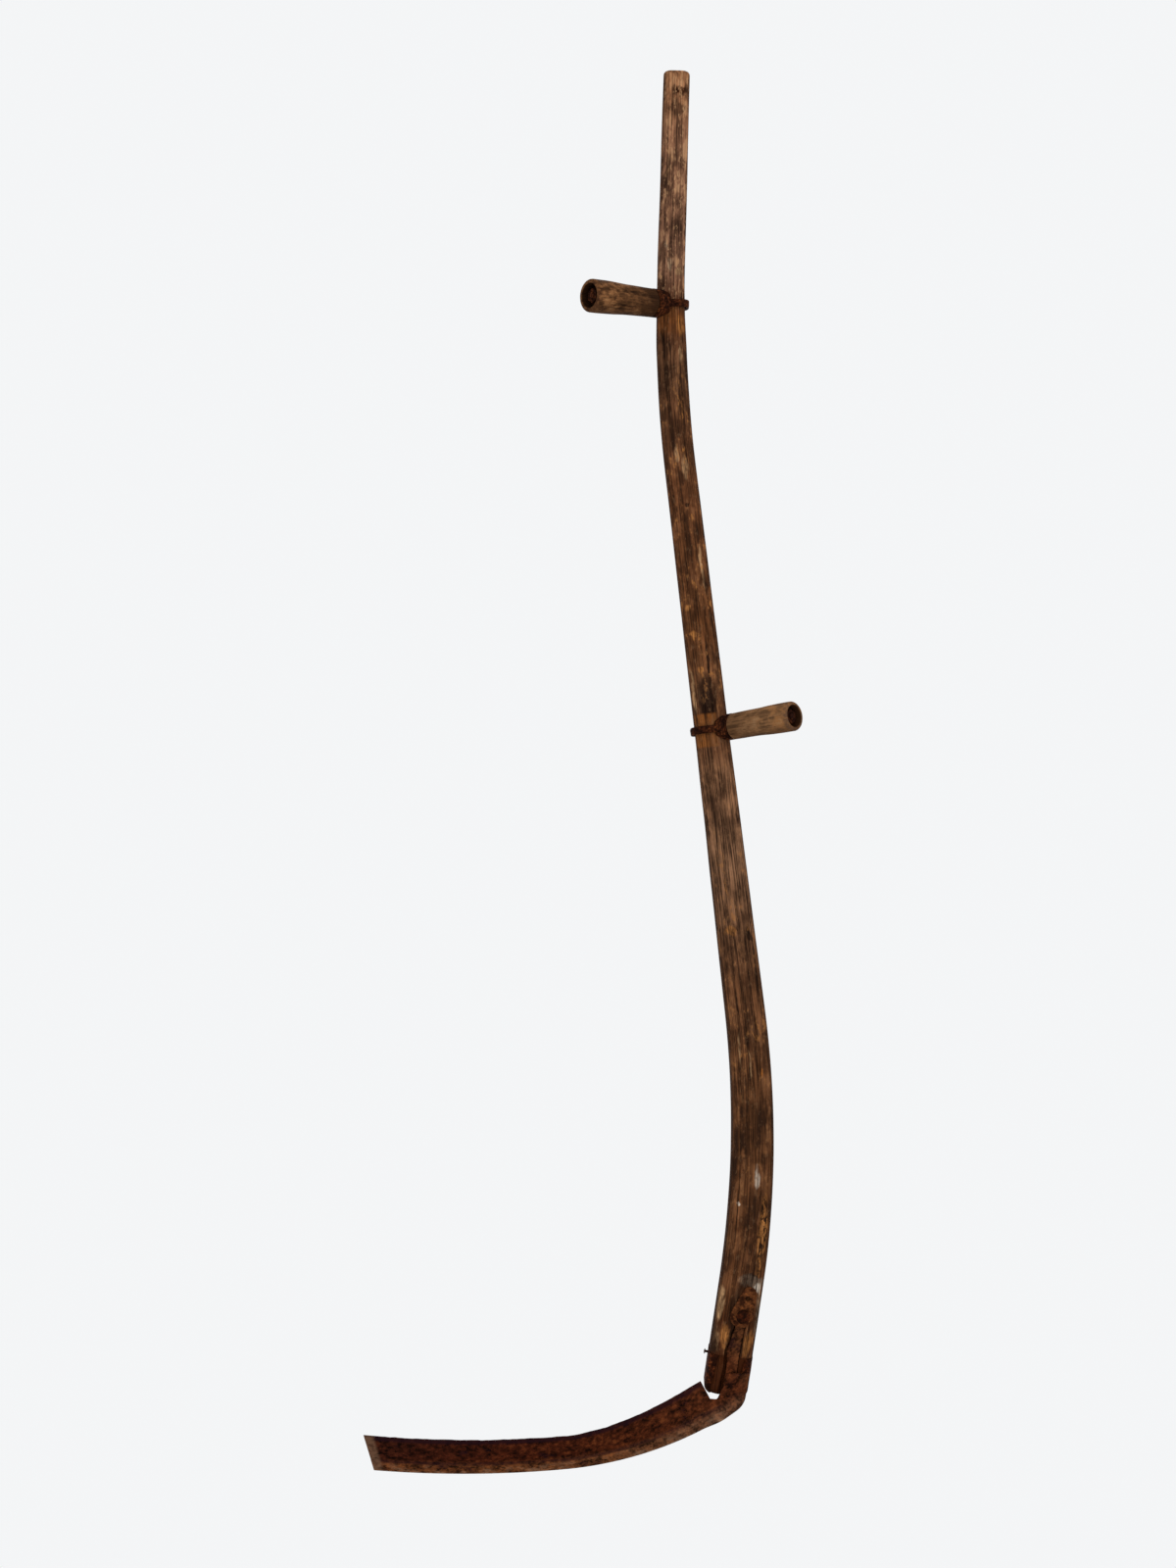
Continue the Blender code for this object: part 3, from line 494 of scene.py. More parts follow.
    def _seats(self, right: Socket, down: Socket) -> Socket:
        """Share of bright rust where the saddles have rubbed.

        Args:
            right: distance to the right of the centreline.
            down: distance from the top end.

        Returns:
            The share.
        """
        lower = down.near(self.lower_iron + 1 * MM, 16 * MM, 3 * MM) * right.rise(8 * MM, 3 * MM)
        return lower * 0.9 + down.near(self.upper_iron + 17 * MM, 12 * MM, 8 * MM) * 0.4

    def _marked(self, tree: ShaderTree, colour: Socket, grain: Socket, blotch: Socket,
                crumb: Socket) -> Socket:
        """Wood with its stains, flecks, scars and painted shadows.

        Args:
            tree: the material's tree.
            colour: the wood's colour.
            grain: place in the grain.
            blotch: what clouds the smooth marks.
            crumb: what breaks up the torn ones.

        Returns:
            The marked colour.
        """
        across, along = self.wander
        sway = tree.noise(grain, (60, 60, 30), detail=3, rough=0.6, output=1)
        feeds = {0: sway, 1: (across, 0.0, along), 2: grain}
        moved = tree.node("ShaderNodeVectorMath", {"operation": "MULTIPLY_ADD"}, feeds)
        smooth = 0.62 + 0.38 * blotch.rise(0.38, 0.52)
        broken = 0.35 + 0.65 * crumb.rise(0.36, 0.5)
        for mark in self.marks:
            half = self.top_half + self.widening * mark.down
            centre = (mark.right + across / 2, half, mark.down + along / 2)
            spot = tree.spot(moved, centre, (mark.wide, self.mark_depth, mark.long))
            worn = smooth if mark.tone in (Tone.SOOT_AND_SHADOW, Tone.DEEP_RUST, Tone.GREY) else broken
            colour = tree.mix(spot * worn * mark.strength, colour, mark.tone.value)
            if mark.tone is Tone.TORN and mark.long > self.torn_length:
                colour = tree.mix(spot * crumb.rise(0.53, 0.45) * 0.95, colour, Tone.SOOT_AND_SHADOW.value)
        return colour


@dataclass(frozen=True)
class TurnedWood:
    """Hand-worn grip. The grain gives X and Y across it and Z outwards along it."""

    name: str
    base: Colour
    dark: Colour
    pale: Colour
    glow: Colour
    rim: Colour
    rim_share: float
    root_share: float
    streak_share: float
    mottle: float

    def make(self, low: float, high: float, radius: float, bore: float) -> bpy.types.Material:
        """Build the material for a grip of a given size.

        Args:
            low: where the grip starts.
            high: where it ends.
            radius: its outer radius.
            bore: radius of its hollowed end.

        Returns:
            The material.
        """
        tree = ShaderTree(self.name)
        grain = tree.grain()
        across, aside, out = tree.split(grain)
        fibre = tree.noise(grain, (700, 700, 46), detail=3, rough=0.65)
        streak = tree.noise(grain, (300, 300, 20), detail=4, rough=0.62, twist=0.4)
        blotch = tree.noise(grain, (95, 95, 62), detail=5, rough=0.66)
        crumb = tree.noise(grain, (380, 380, 240), detail=3, rough=0.65)
        turning = tree.noise(grain, (8, 8, 900), detail=2, rough=0.5)
        square = across * across + aside * aside
        reach = square.math("SQRT", square)
        end = out.rise(high - 7 * MM, high - 1 * MM)
        rim = end * reach.rise(radius * 0.7, radius * 0.84)
        hollow = out.rise(low + 12 * MM, low + 30 * MM) * reach.rise(bore + 0.8 * MM, bore)

        plain = 0.7 - 0.5 * self.mottle
        weave = plain + 0.4 * fibre.rise(0.38, 0.62) + self.mottle * blotch.rise(0.42, 0.58)
        weave = weave + self.streak_share * streak.rise(0.38, 0.62)
        colour = tree.shade(self.base, weave)
        towards_end = out.rise(low + 0.35 * (high - low), high - 8 * MM)
        colour = tree.mix(towards_end * blotch.rise(0.46, 0.6) * 0.6, colour, self.glow)
        colour = tree.mix(blotch.rise(0.54, 0.64) * crumb.rise(0.42, 0.58) * 0.45, colour, self.pale)
        colour = tree.mix(streak.rise(0.48, 0.38) * self.streak_share, colour, self.dark)
        under = aside.rise(-radius * 0.35, -radius) * 0.6
        root = out.rise(low + 42 * MM, low + 2 * MM) * self.root_share
        shadow = root.math("MAXIMUM", root, under) * (0.45 + 0.55 * blotch.rise(0.3, 0.55))
        colour = tree.mix(shadow, colour, self.dark)
        colour = tree.mix(rim * crumb.rise(0.36, 0.56) * self.rim_share, colour, self.rim)
        # painted shade: the inside of the hollowed end is darkened almost to the dark colour
        colour = tree.mix(hollow * 0.96, colour, self.dark)

        roughness = 0.6 + 0.22 * fibre + 0.1 * rim
        height = 0.5 * fibre + 0.5 * streak + 0.12 * turning + 0.25 * crumb + 0.3 * blotch
        return tree.surface(colour, roughness, 0.0, height, 0.45 * MM)


@dataclass(frozen=True)
class RustedIron:
    """Old black iron: scale, brown bloom and orange specks, in its own object's place."""

    name: str
    scale: Colour
    bloom: Colour
    orange_share: float
    contrast: float = 1.2
    orange: Colour = (0.25, 0.078, 0.016)

    def make(self) -> bpy.types.Material:
        """Build the material.

        Returns:
            The material.
        """
        tree = ShaderTree(self.name)
        place = tree.node("ShaderNodeTexCoord", {}, {}, output=3)
        cloud = tree.noise(place, (120, 120, 120), detail=5, rough=0.65)
        fleck = tree.noise(place, (380, 380, 380), detail=3, rough=0.65)
        grit = tree.noise(place, (900, 900, 900), detail=3, rough=0.7)
        pits = tree.noise(place, (340, 340, 340), detail=2, rough=0.5)
        colour = tree.mix(cloud.rise(0.43, 0.56), self.scale, self.bloom)
        specks = fleck.rise(0.54, 0.66) * cloud.rise(0.46, 0.58)
        colour = tree.mix(specks * self.orange_share, colour, self.orange)
        colour = tree.shade(colour, 1.0 - self.contrast / 2 + self.contrast * fleck.rise(0.3, 0.7))
        roughness = 0.62 + 0.28 * cloud
        metallic = 0.25 - 0.2 * cloud
        height = 0.4 * grit + 0.5 * fleck + 0.4 * pits.rise(0.35, 0.6)
        return tree.surface(colour, roughness, metallic, height, 0.25 * MM)


@dataclass(frozen=True)
class RustedSteel:
    """Blade forging. The grain gives X from back to edge, Y its height and Z from heel to toe."""

    rib: float
    edge: float
    length: float
    web_tones: Stops = (
        (0.00, (0.052, 0.0130, 0.0044)),
        (0.25, (0.040, 0.0085, 0.0026)),
        (0.60, (0.033, 0.0062, 0.0020)),
        (1.00, (0.027, 0.0056, 0.0024)),
    )
    # the rib's tones are lighter than the web's: a painted highlight on the rib's face, which catches the
    # light
    rib_tones: Stops = (
        (0.00, (0.084, 0.034, 0.0170)),
        (0.30, (0.096, 0.034, 0.0125)),
        (0.65, (0.090, 0.028, 0.0085)),
        (1.00, (0.078, 0.023, 0.0070)),
    )
    orange: Colour = (0.26, 0.082, 0.020)
    # black of the scale, of the crease line and of the painted reflection along the edge
    black_scale_and_reflection: Colour = (0.014, 0.0035, 0.0060)
    dust: Colour = (0.26, 0.165, 0.105)
    toe_tan: Colour = (0.150, 0.078, 0.045)
    tang: Colour = (0.066, 0.022, 0.008)

    def make(self) -> bpy.types.Material:
        """Build the material.

        Returns:
            The material.
        """
        tree = ShaderTree("rusted_steel")
        grain = tree.grain()
        across, _, along = tree.split(grain)
        cloud = tree.noise(grain, (80, 80, 48), detail=6, rough=0.68)
        drift = tree.noise(grain, (200, 200, 60), detail=4, rough=0.6)
        fleck = tree.noise(grain, (210, 210, 150), detail=5, rough=0.72)
        grit = tree.noise(grain, (1000, 1000, 800), detail=3, rough=0.7)
        pits = tree.noise(grain, (380, 380, 320), detail=2, rough=0.5)
        share = along / self.length
        on_blade = along.rise(-24 * MM, 4 * MM)
        drifted = across + (cloud - 0.5) * 14 * MM
        on_rib = drifted.rise(self.rib + 6 * MM, self.rib - 5 * MM)
        # painted highlight: the rib takes the lighter rib tones
        colour = tree.mix(on_rib, tree.ramp(share, self.web_tones), tree.ramp(share, self.rib_tones))
        colour = tree.mix(along.rise(-30 * MM, -52 * MM), colour, self.tang)
        uneven = 0.05 + 0.8 * cloud.rise(0.4, 0.6) + 0.2 * drift.rise(0.34, 0.66)
        colour = tree.shade(colour, uneven + 1.1 * fleck.rise(0.41, 0.59))
        towards_heel = share.rise(0.85, 0.35)
        bloom = 0.12 + 0.3 * on_rib + 0.12 * towards_heel
        colour = tree.mix(bloom * fleck.rise(0.53, 0.64) * cloud.rise(0.44, 0.58), colour, self.orange)
        dusty = across.rise(self.rib + 1 * MM, 3 * MM) * cloud.rise(0.46, 0.56) * drift.rise(0.4, 0.56)
        colour = tree.mix(dusty * on_blade * 0.3, colour, self.dust)
        colour = tree.mix(cloud.rise(0.42, 0.34) * 0.5, colour, self.black_scale_and_reflection)
        crease = across.near(self.rib + 0.6 * MM, 0.8 * MM, 2 * MM)
        colour = tree.mix(crease * on_blade * drift.rise(0.35, 0.5) * 0.5, colour, self.black_scale_and_reflection)
        # painted reflection: a dark purple band along the bevel near the edge
        edge_reflection = across.rise(self.edge - 8 * MM, self.edge - 4 * MM) * on_blade
        colour = tree.mix(edge_reflection * (0.6 + 0.35 * drift), colour, self.black_scale_and_reflection)
        lip = across.rise(self.edge - 1.2 * MM, self.edge - 0.4 * MM) * 0.5
        lip = lip + across.near(0.0, 1.0 * MM, 1.0 * MM)
        colour = tree.mix(lip * on_blade * fleck.rise(0.46, 0.6) * 0.6, colour, self.dust)
        toe = (along - across * 0.3).rise(self.length - 12 * MM, self.length - 7 * MM)
        colour = tree.mix(toe * (0.3 + 0.5 * fleck.rise(0.36, 0.56)), colour, self.toe_tan)
        roughness = 0.5 + 0.3 * cloud + 0.1 * grit
        metallic = 0.3 - 0.25 * cloud
        height = 0.4 * grit + 0.6 * pits.rise(0.32, 0.6) + 0.4 * drift + 0.4 * fleck
        return tree.surface(colour, roughness, metallic, height, 0.45 * MM)


@dataclass(frozen=True)
class PaleGround:
    """Pale plastered ground under the scythe."""

    tint: Colour = (0.80, 0.80, 0.80)
    cloudy: Colour = (0.74, 0.745, 0.75)

    def make(self) -> bpy.types.Material:
        """Build the material.

        Returns:
            The material.
        """
        tree = ShaderTree("pale_ground")
        place = tree.node("ShaderNodeTexCoord", {}, {}, output=3)
        cloud = tree.noise(place, (3, 3, 3), detail=4)
        colour = tree.mix(cloud * 0.15, self.tint, self.cloudy)
        return tree.surface(colour, 0.85, 0.0, tree.noise(place, (140, 140, 140)), 0.2 * MM)


# ---------------------------------------------------------------- mesh helpers


def joint(name: str) -> Dict[str, object]:
    """The frame's joint of that name."""
    return next(entry for entry in frame["joints"] if entry["name"] == name)


def axes(across: Vector, up: Vector, out: Vector, place: Vector) -> Matrix:
    """Matrix with those axes and that origin.

    Args:
        across: X axis.
        up: Y axis.
        out: Z axis.
        place: origin.

    Returns:
        The matrix.
    """
    matrix = Matrix((across, up, out)).transposed().to_4x4()
    matrix.translation = place
    return matrix


def measured(node: str, local: Matrix) -> Tuple[Vector, Vector]:
    """Lowest and highest corner of a CAD node in a frame of its own.

    Args:
        node: the node's name.
        local: the frame.

    Returns:
        The two corners.
    """
    inverse = local.inverted()
    points = [inverse @ vertex.co for vertex in frame["nodes"][node].data.vertices]
    low = Vector([min(point[axis] for point in points) for axis in range(3)])
    high = Vector([max(point[axis] for point in points) for axis in range(3)])
    return low, high


def between(rows: Sequence[Tuple[float, ...]], distance: float) -> Tuple[float, ...]:
    """Values of a table's rows, read between its distances.

    Args:
        rows: rows of a distance and values.
        distance: where to read.

    Returns:
        The values there.
    """
    if distance <= rows[0][0]:
        return rows[0][1:]
    for low, high in zip(rows, rows[1:]):
        if distance <= high[0]:
            share = (distance - low[0]) / (high[0] - low[0])
            return tuple(a + (b - a) * share for a, b in zip(low[1:], high[1:]))
    return rows[-1][1:]


def spread(first: float, last: float, step: float) -> List[float]:
    """Values from first to last, both included, spaced evenly by about that step."""
    count = max(1, round((last - first) / step))
    return [first + (last - first) * index / count for index in range(count + 1)]


def rounded_plan(steps: int, columns: int) -> List[Vector]:
    """Points round a square from -1 to 1 with round corners.

    Args:
        steps: segments of each corner.
        columns: segments of each straight side.

    Returns:
        The points, in order.
    """
    bm = bmesh.new()
    bmesh.ops.create_circle(bm, cap_ends=True, segments=4, radius=math.sqrt(2))
    bmesh.ops.rotate(bm, verts=bm.verts, matrix=Matrix.Rotation(math.pi / 4, 3, "Z"))
    bmesh.ops.bevel(
        bm, geom=list(bm.verts), offset=PLAN_CORNER, affect="VERTICES", segments=steps, profile=0.5,
        material=-1,
    )
    straight = [edge for edge in bm.edges if edge.calc_length() > 1]
    bmesh.ops.subdivide_edges(bm, edges=straight, cuts=columns - 1)
    points = [loop.vert.co.copy() for loop in max(bm.faces, key=lambda face: len(face.verts)).loops]
    bm.free()
    return points


def on_plan(point: Vector, half: float, radius: float) -> Vector:
    """Place on a squared section of a point of the rounded plan.

    Args:
        point: the plan's point, from -1 to 1.
        half: half the section's side.
        radius: radius of its corners.

    Returns:
        The place across the section.
    """
    core = 1.0 - PLAN_CORNER
    kept = Vector([max(-core, min(core, value)) for value in point.xy])
    return kept * ((half - radius) / core) + (point.xy - kept) * (radius / PLAN_CORNER)


def sweep(plan: Sequence[Vector], distances: Sequence[float], place: Callable[[Vector, float], Vector],
          capped: bool = True) -> bmesh.types.BMesh:
    """Extrude a closed plan from station to station.

    Args:
        plan: points of the plan.
        distances: the stations.
        place: gives the place of a plan's point at a station.
        capped: whether the two ends are closed.

    Returns:
        The mesh being made.
    """
    bm = bmesh.new()
    layer = bm.verts.layers.float_vector.new("plan")
    verts = [bm.verts.new(place(point, distances[0])) for point in plan]
    for vert, point in zip(verts, plan):
        vert[layer] = point
    ring = [bm.edges.new(pair) for pair in zip(verts, verts[1:] + verts[:1])]
    ends = [list(ring)]
    for distance in distances[1:]:
        made = bmesh.ops.extrude_edge_only(bm, edges=ring)["geom"]
        fresh = {item for item in made if isinstance(item, bmesh.types.BMVert)}
        ring = [item for item in made if isinstance(item, bmesh.types.BMEdge) and set(item.verts) <= fresh]
        for vert in fresh:
            vert.co = place(vert[layer], distance)
    ends.append(ring)
    if capped:
        for end in ends:
            bmesh.ops.edgeloop_fill(bm, edges=end)
    bmesh.ops.recalc_face_normals(bm, faces=bm.faces)
    return bm


def turned(profile: Sequence[Tuple[float, float]], ring: bool = False,
           steps: int = 64) -> bmesh.types.BMesh:
    """Spin a profile of (radius, height) round Z.

    Args:
        profile: the profile, in order.
        ring: whether the profile closes on itself, as a washer's does.
        steps: segments round the axis.

    Returns:
        The mesh being made.
    """
    bm = bmesh.new()
    verts = [bm.verts.new((radius, 0.0, height)) for radius, height in profile]
    pairs = list(zip(verts, verts[1:]))
    if ring:
        pairs.append((verts[-1], verts[0]))
    edges = [bm.edges.new(pair) for pair in pairs]
    bmesh.ops.spin(
        bm, geom=verts + edges, cent=(0, 0, 0), axis=(0, 0, 1), dvec=(0, 0, 0),
        angle=2 * math.pi, steps=steps, use_merge=True, use_duplicate=False,
    )
    bmesh.ops.remove_doubles(bm, verts=bm.verts, dist=0.001 * MM)
    bmesh.ops.recalc_face_normals(bm, faces=bm.faces)
    return bm


def rod(radius: float, low: float, high: float, steps: int = 48) -> bmesh.types.BMesh:
    """Plain round bar along Z.

    Args:
        radius: its radius.
        low: its lower end.
        high: its upper end.
        steps: segments round it.

    Returns:
        The mesh being made.
    """
    bm = bmesh.new()
    length = high - low
    bmesh.ops.create_cone(bm, cap_ends=True, segments=steps, radius1=radius, radius2=radius, depth=length)
    bmesh.ops.translate(bm, verts=bm.verts, vec=(0, 0, (low + high) / 2))
    return bm


def soften(bm: bmesh.types.BMesh, width: float, segments: int = 2, limit: float = 32.0) -> None:
    """Round every edge that is sharper than a limit.

    Args:
        bm: the mesh.
        width: width of the rounding.
        segments: its segments.
        limit: the angle in degrees.
    """
    closed = [edge for edge in bm.edges if len(edge.link_faces) == 2]
    sharp = [edge for edge in closed if edge.calc_face_angle(0) > math.radians(limit)]
    bmesh.ops.bevel(
        bm, geom=sharp, offset=width, affect="EDGES", segments=segments, profile=0.5, material=-1,
        clamp_overlap=True,
    )


def lift(bm: bmesh.types.BMesh, height: float) -> None:
    """Raise a flat face along Z into a slab.

    Args:
        bm: the mesh, one flat face.
        height: the slab's thickness.
    """
    made = bmesh.ops.extrude_face_region(bm, geom=list(bm.faces))["geom"]
    raised = [item for item in made if isinstance(item, bmesh.types.BMVert)]
    bmesh.ops.translate(bm, verts=raised, vec=(0, 0, height))
    bmesh.ops.recalc_face_normals(bm, faces=bm.faces)


def slab(outline: Sequence[Tuple[float, float]], low: float, high: float) -> bmesh.types.BMesh:
    """Flat plate with a given outline.

    Args:
        outline: points round it.
        low: its lower face.
        high: its upper face.

    Returns:
        The mesh being made.
    """
    bm = bmesh.new()
    bm.faces.new([bm.verts.new((x, y, low)) for x, y in outline])
    lift(bm, high - low)
    return bm


def thicken(bm: bmesh.types.BMesh, wall: float, inside: Vector) -> None:
    """Give an open skin a wall that stands outside it.

    Args:
        bm: the skin.
        wall: the wall's thickness.
        inside: a place that the skin goes round.
    """
    outward = sum(face.normal.dot(face.calc_center_median() - inside) for face in bm.faces)
    if outward < 0:
        bmesh.ops.reverse_faces(bm, faces=bm.faces)
    bmesh.ops.solidify(bm, geom=bm.faces, thickness=-wall)
    bmesh.ops.recalc_face_normals(bm, faces=bm.faces)


def to_mesh(bm: bmesh.types.BMesh, local: Optional[Matrix] = None) -> bpy.types.Mesh:
    """Turn a bmesh into a mesh, placed by a frame.

    Args:
        bm: the bmesh, which is freed.
        local: frame that it was made in, if it isn't the world's.

    Returns:
        The mesh.
    """
    if local is not None:
        bmesh.ops.transform(bm, matrix=local, verts=bm.verts)
    mesh = bpy.data.meshes.new("piece")
    bm.to_mesh(mesh)
    bm.free()
    return mesh


def combine(mesh: bpy.types.Mesh, tool: bpy.types.Mesh, work: Work) -> bpy.types.Mesh:
    """Cut one mesh from another, or join them into one body.

    Args:
        mesh: the mesh that is worked on.
        tool: the mesh that cuts or joins.
        work: whether it cuts or joins.

    Returns:
        The result.
    """
    items = [bpy.data.objects.new("work", data) for data in (mesh, tool)]
    for item in items:
        bpy.context.scene.collection.objects.link(item)
    step = items[0].modifiers.new("combine", "BOOLEAN")
    step.operation = work.value
    step.solver = "EXACT"
    step.object = items[1]
    graph = bpy.context.evaluated_depsgraph_get()
    result = bpy.data.meshes.new_from_object(items[0].evaluated_get(graph))
    for item in items:
        data = item.data
        bpy.data.objects.remove(item)
        bpy.data.meshes.remove(data)
    return result


def copied(node: str) -> bmesh.types.BMesh:
    """Merged copy of a CAD node's mesh, in the world's frame.

    Args:
        node: the node's name.

    Returns:
        The mesh being made.
    """
    bm = bmesh.new()
    bm.from_mesh(frame["nodes"][node].data)
    bmesh.ops.remove_doubles(bm, verts=bm.verts, dist=0.01 * MM)
    bmesh.ops.dissolve_limit(bm, angle_limit=math.radians(1), verts=bm.verts, edges=bm.edges)
    return bm


def flat_ring(node: str, local: Matrix, bore: float, width: float, segments: int = 2) -> bpy.types.Mesh:
    """Washer or collar with softened rims, in its CAD node's place.

    Args:
        node: the CAD node.
        local: frame with Z along the bore.
        bore: radius of the bore.
        width: width of the softening.
        segments: segments of the softening.

    Returns:
        The mesh, in place.
    """
    low, high = measured(node, local)
    bm = turned(((high.x, high.z), (high.x, low.z), (bore, low.z), (bore, high.z)), ring=True)
    soften(bm, width, segments)
    return to_mesh(bm, local)


def flat_nut(node: str, local: Matrix, bore: float, sides: int) -> bpy.types.Mesh:
    """Nut with rounded corners and a bore, in its CAD node's place.

    Args:
        node: the CAD node.
        local: frame with Z along the bore.
        bore: radius of the bore.
        sides: number of flats.

    Returns:
        The mesh, in place.
    """
    low, high = measured(node, local)
    inverse = local.inverted()
    corner = max((inverse @ vertex.co).xy.length for vertex in frame["nodes"][node].data.vertices)
    bm = rod(corner, low.z, high.z, sides)
    if abs(max(vert.co.x for vert in bm.verts) - high.x) > 0.2 * MM:
        # the CAD nut has a flat where this one has a corner
        bmesh.ops.rotate(bm, verts=bm.verts, matrix=Matrix.Rotation(math.pi / sides, 3, "Z"))
    soften(bm, 0.6 * MM)
    hole = rod(bore, low.z - CLEAR, high.z + CLEAR)
    return combine(to_mesh(bm, local), to_mesh(hole, local), Work.CUT)


@dataclass
class Piece:
    """How a finished mesh goes into the model."""

    name: str
    body: str
    slot: Slot
    replaces: Tuple[str, ...]
    sharp: float = 40.0

    def show(self, mesh: bpy.types.Mesh, material: bpy.types.Material,
             grain: Optional[Grain] = None) -> None:
        """Make the object, dress it and have it ride on its body.

        Args:
            mesh: its mesh, in place.
            material: its material.
            grain: gives the place in the grain of a point, if the finish follows it.
        """
        mesh.name = self.name
        mesh.materials.clear()
        mesh.materials.append(material)
        mesh.shade_smooth()
        mesh.set_sharp_from_angle(angle=math.radians(self.sharp))
        if grain is not None:
            layer = mesh.attributes.new(GRAIN, "FLOAT_VECTOR", "POINT")
            for entry, vertex in zip(layer.data, mesh.vertices):
                entry.vector = grain(vertex.co)
        item = bpy.data.objects.new(self.name, mesh)
        bpy.context.scene.collection.objects.link(item)
        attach(item, self.body)
        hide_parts(*self.replaces)
        LOG.info("%s: %d faces on %s", self.name, len(mesh.polygons), self.body)


class Spine:
    """Frames along a curve, which read a bent piece back as a straight one."""

    def __init__(self, distances: Sequence[float], frames: Sequence[Matrix]) -> None:
        """Keep the frames and a way to find the nearest.

        Args:
            distances: distance of each frame along the curve.
            frames: the frames, Z along the curve.
        """
        self.distances = list(distances)
        self.inverses = [matrix.inverted() for matrix in frames]
        self.tree = kdtree.KDTree(len(frames))
        for index, matrix in enumerate(frames):
            self.tree.insert(matrix.translation, index)
        self.tree.balance()

    def straight(self, point: Vector) -> Vector:
        """Place of a point on the straightened piece.

        Args:
            point: the point in the world.

        Returns:
            Across, out and along.
        """
        _, index, _ = self.tree.find(point)
        local = self.inverses[index] @ point
        return Vector((local.x, local.y, self.distances[index] + local.z))


@dataclass(frozen=True)
class Dent:
    """Chip or dent in the snath, in its straightened place, with its reach across and its run along."""

    right: float
    front: float
    down: float
    reach: float
    run: float
    depth: float

    def sunk(self, place: Vector) -> float:
        """How deep it is at a place.

        Args:
            place: straightened place.

        Returns:
            Depth in metres.
        """
        across, aside = (place.x - self.right) / self.reach, (place.y - self.front) / self.reach
        ease = max(0.0, 1.0 - Vector((across, aside, (place.z - self.down) / self.run)).length)
        return self.depth * ease * ease * (3.0 - 2.0 * ease)


# ---------------------------------------------------------------- snath


# right, front, down, reach, run and depth in millimetres
DENT_ROWS = (
    (6, 13, 16, 6, 9, 1.6),
    (-13, 12, 62, 5, 14, 0.7),
    (14, 14, 205, 5, 16, 0.8),
    (-16, 15, 395, 6, 26, 0.9),
    (15, 17, 470, 5, 20, 0.7),
    (-17, 17, 600, 6, 22, 0.8),
    (19, 18, 860, 7, 28, 0.8),
    (6, 21, 985, 7, 30, 1.0),
    (14, 23, 1215, 7, 34, 1.9),
    (17, 23, 1252, 6, 24, 1.7),
    (-20, 20, 1180, 7, 30, 0.9),
    (-19, 21, 1300, 6, 20, 0.8),
)


@dataclass(frozen=True)
class Stretch:
    """Straight or evenly bent stretch of a centreline."""

    start: float
    point: Vector
    direction: Vector
    inward: Optional[Vector] = None
    radius: float = 0.0

    def at(self, distance: float) -> Tuple[Vector, Vector]:
        """Point of the stretch and its direction there.

        Args:
            distance: distance along the whole centreline.

        Returns:
            The point and the direction.
        """
        along = distance - self.start
        if self.inward is None:
            return self.point + self.direction * along, self.direction
        angle = along / self.radius
        ahead = self.direction * (self.radius * math.sin(angle))
        aside = self.inward * (self.radius * (1 - math.cos(angle)))
        return self.point + ahead + aside, self.direction * math.cos(angle) + self.inward * math.sin(angle)


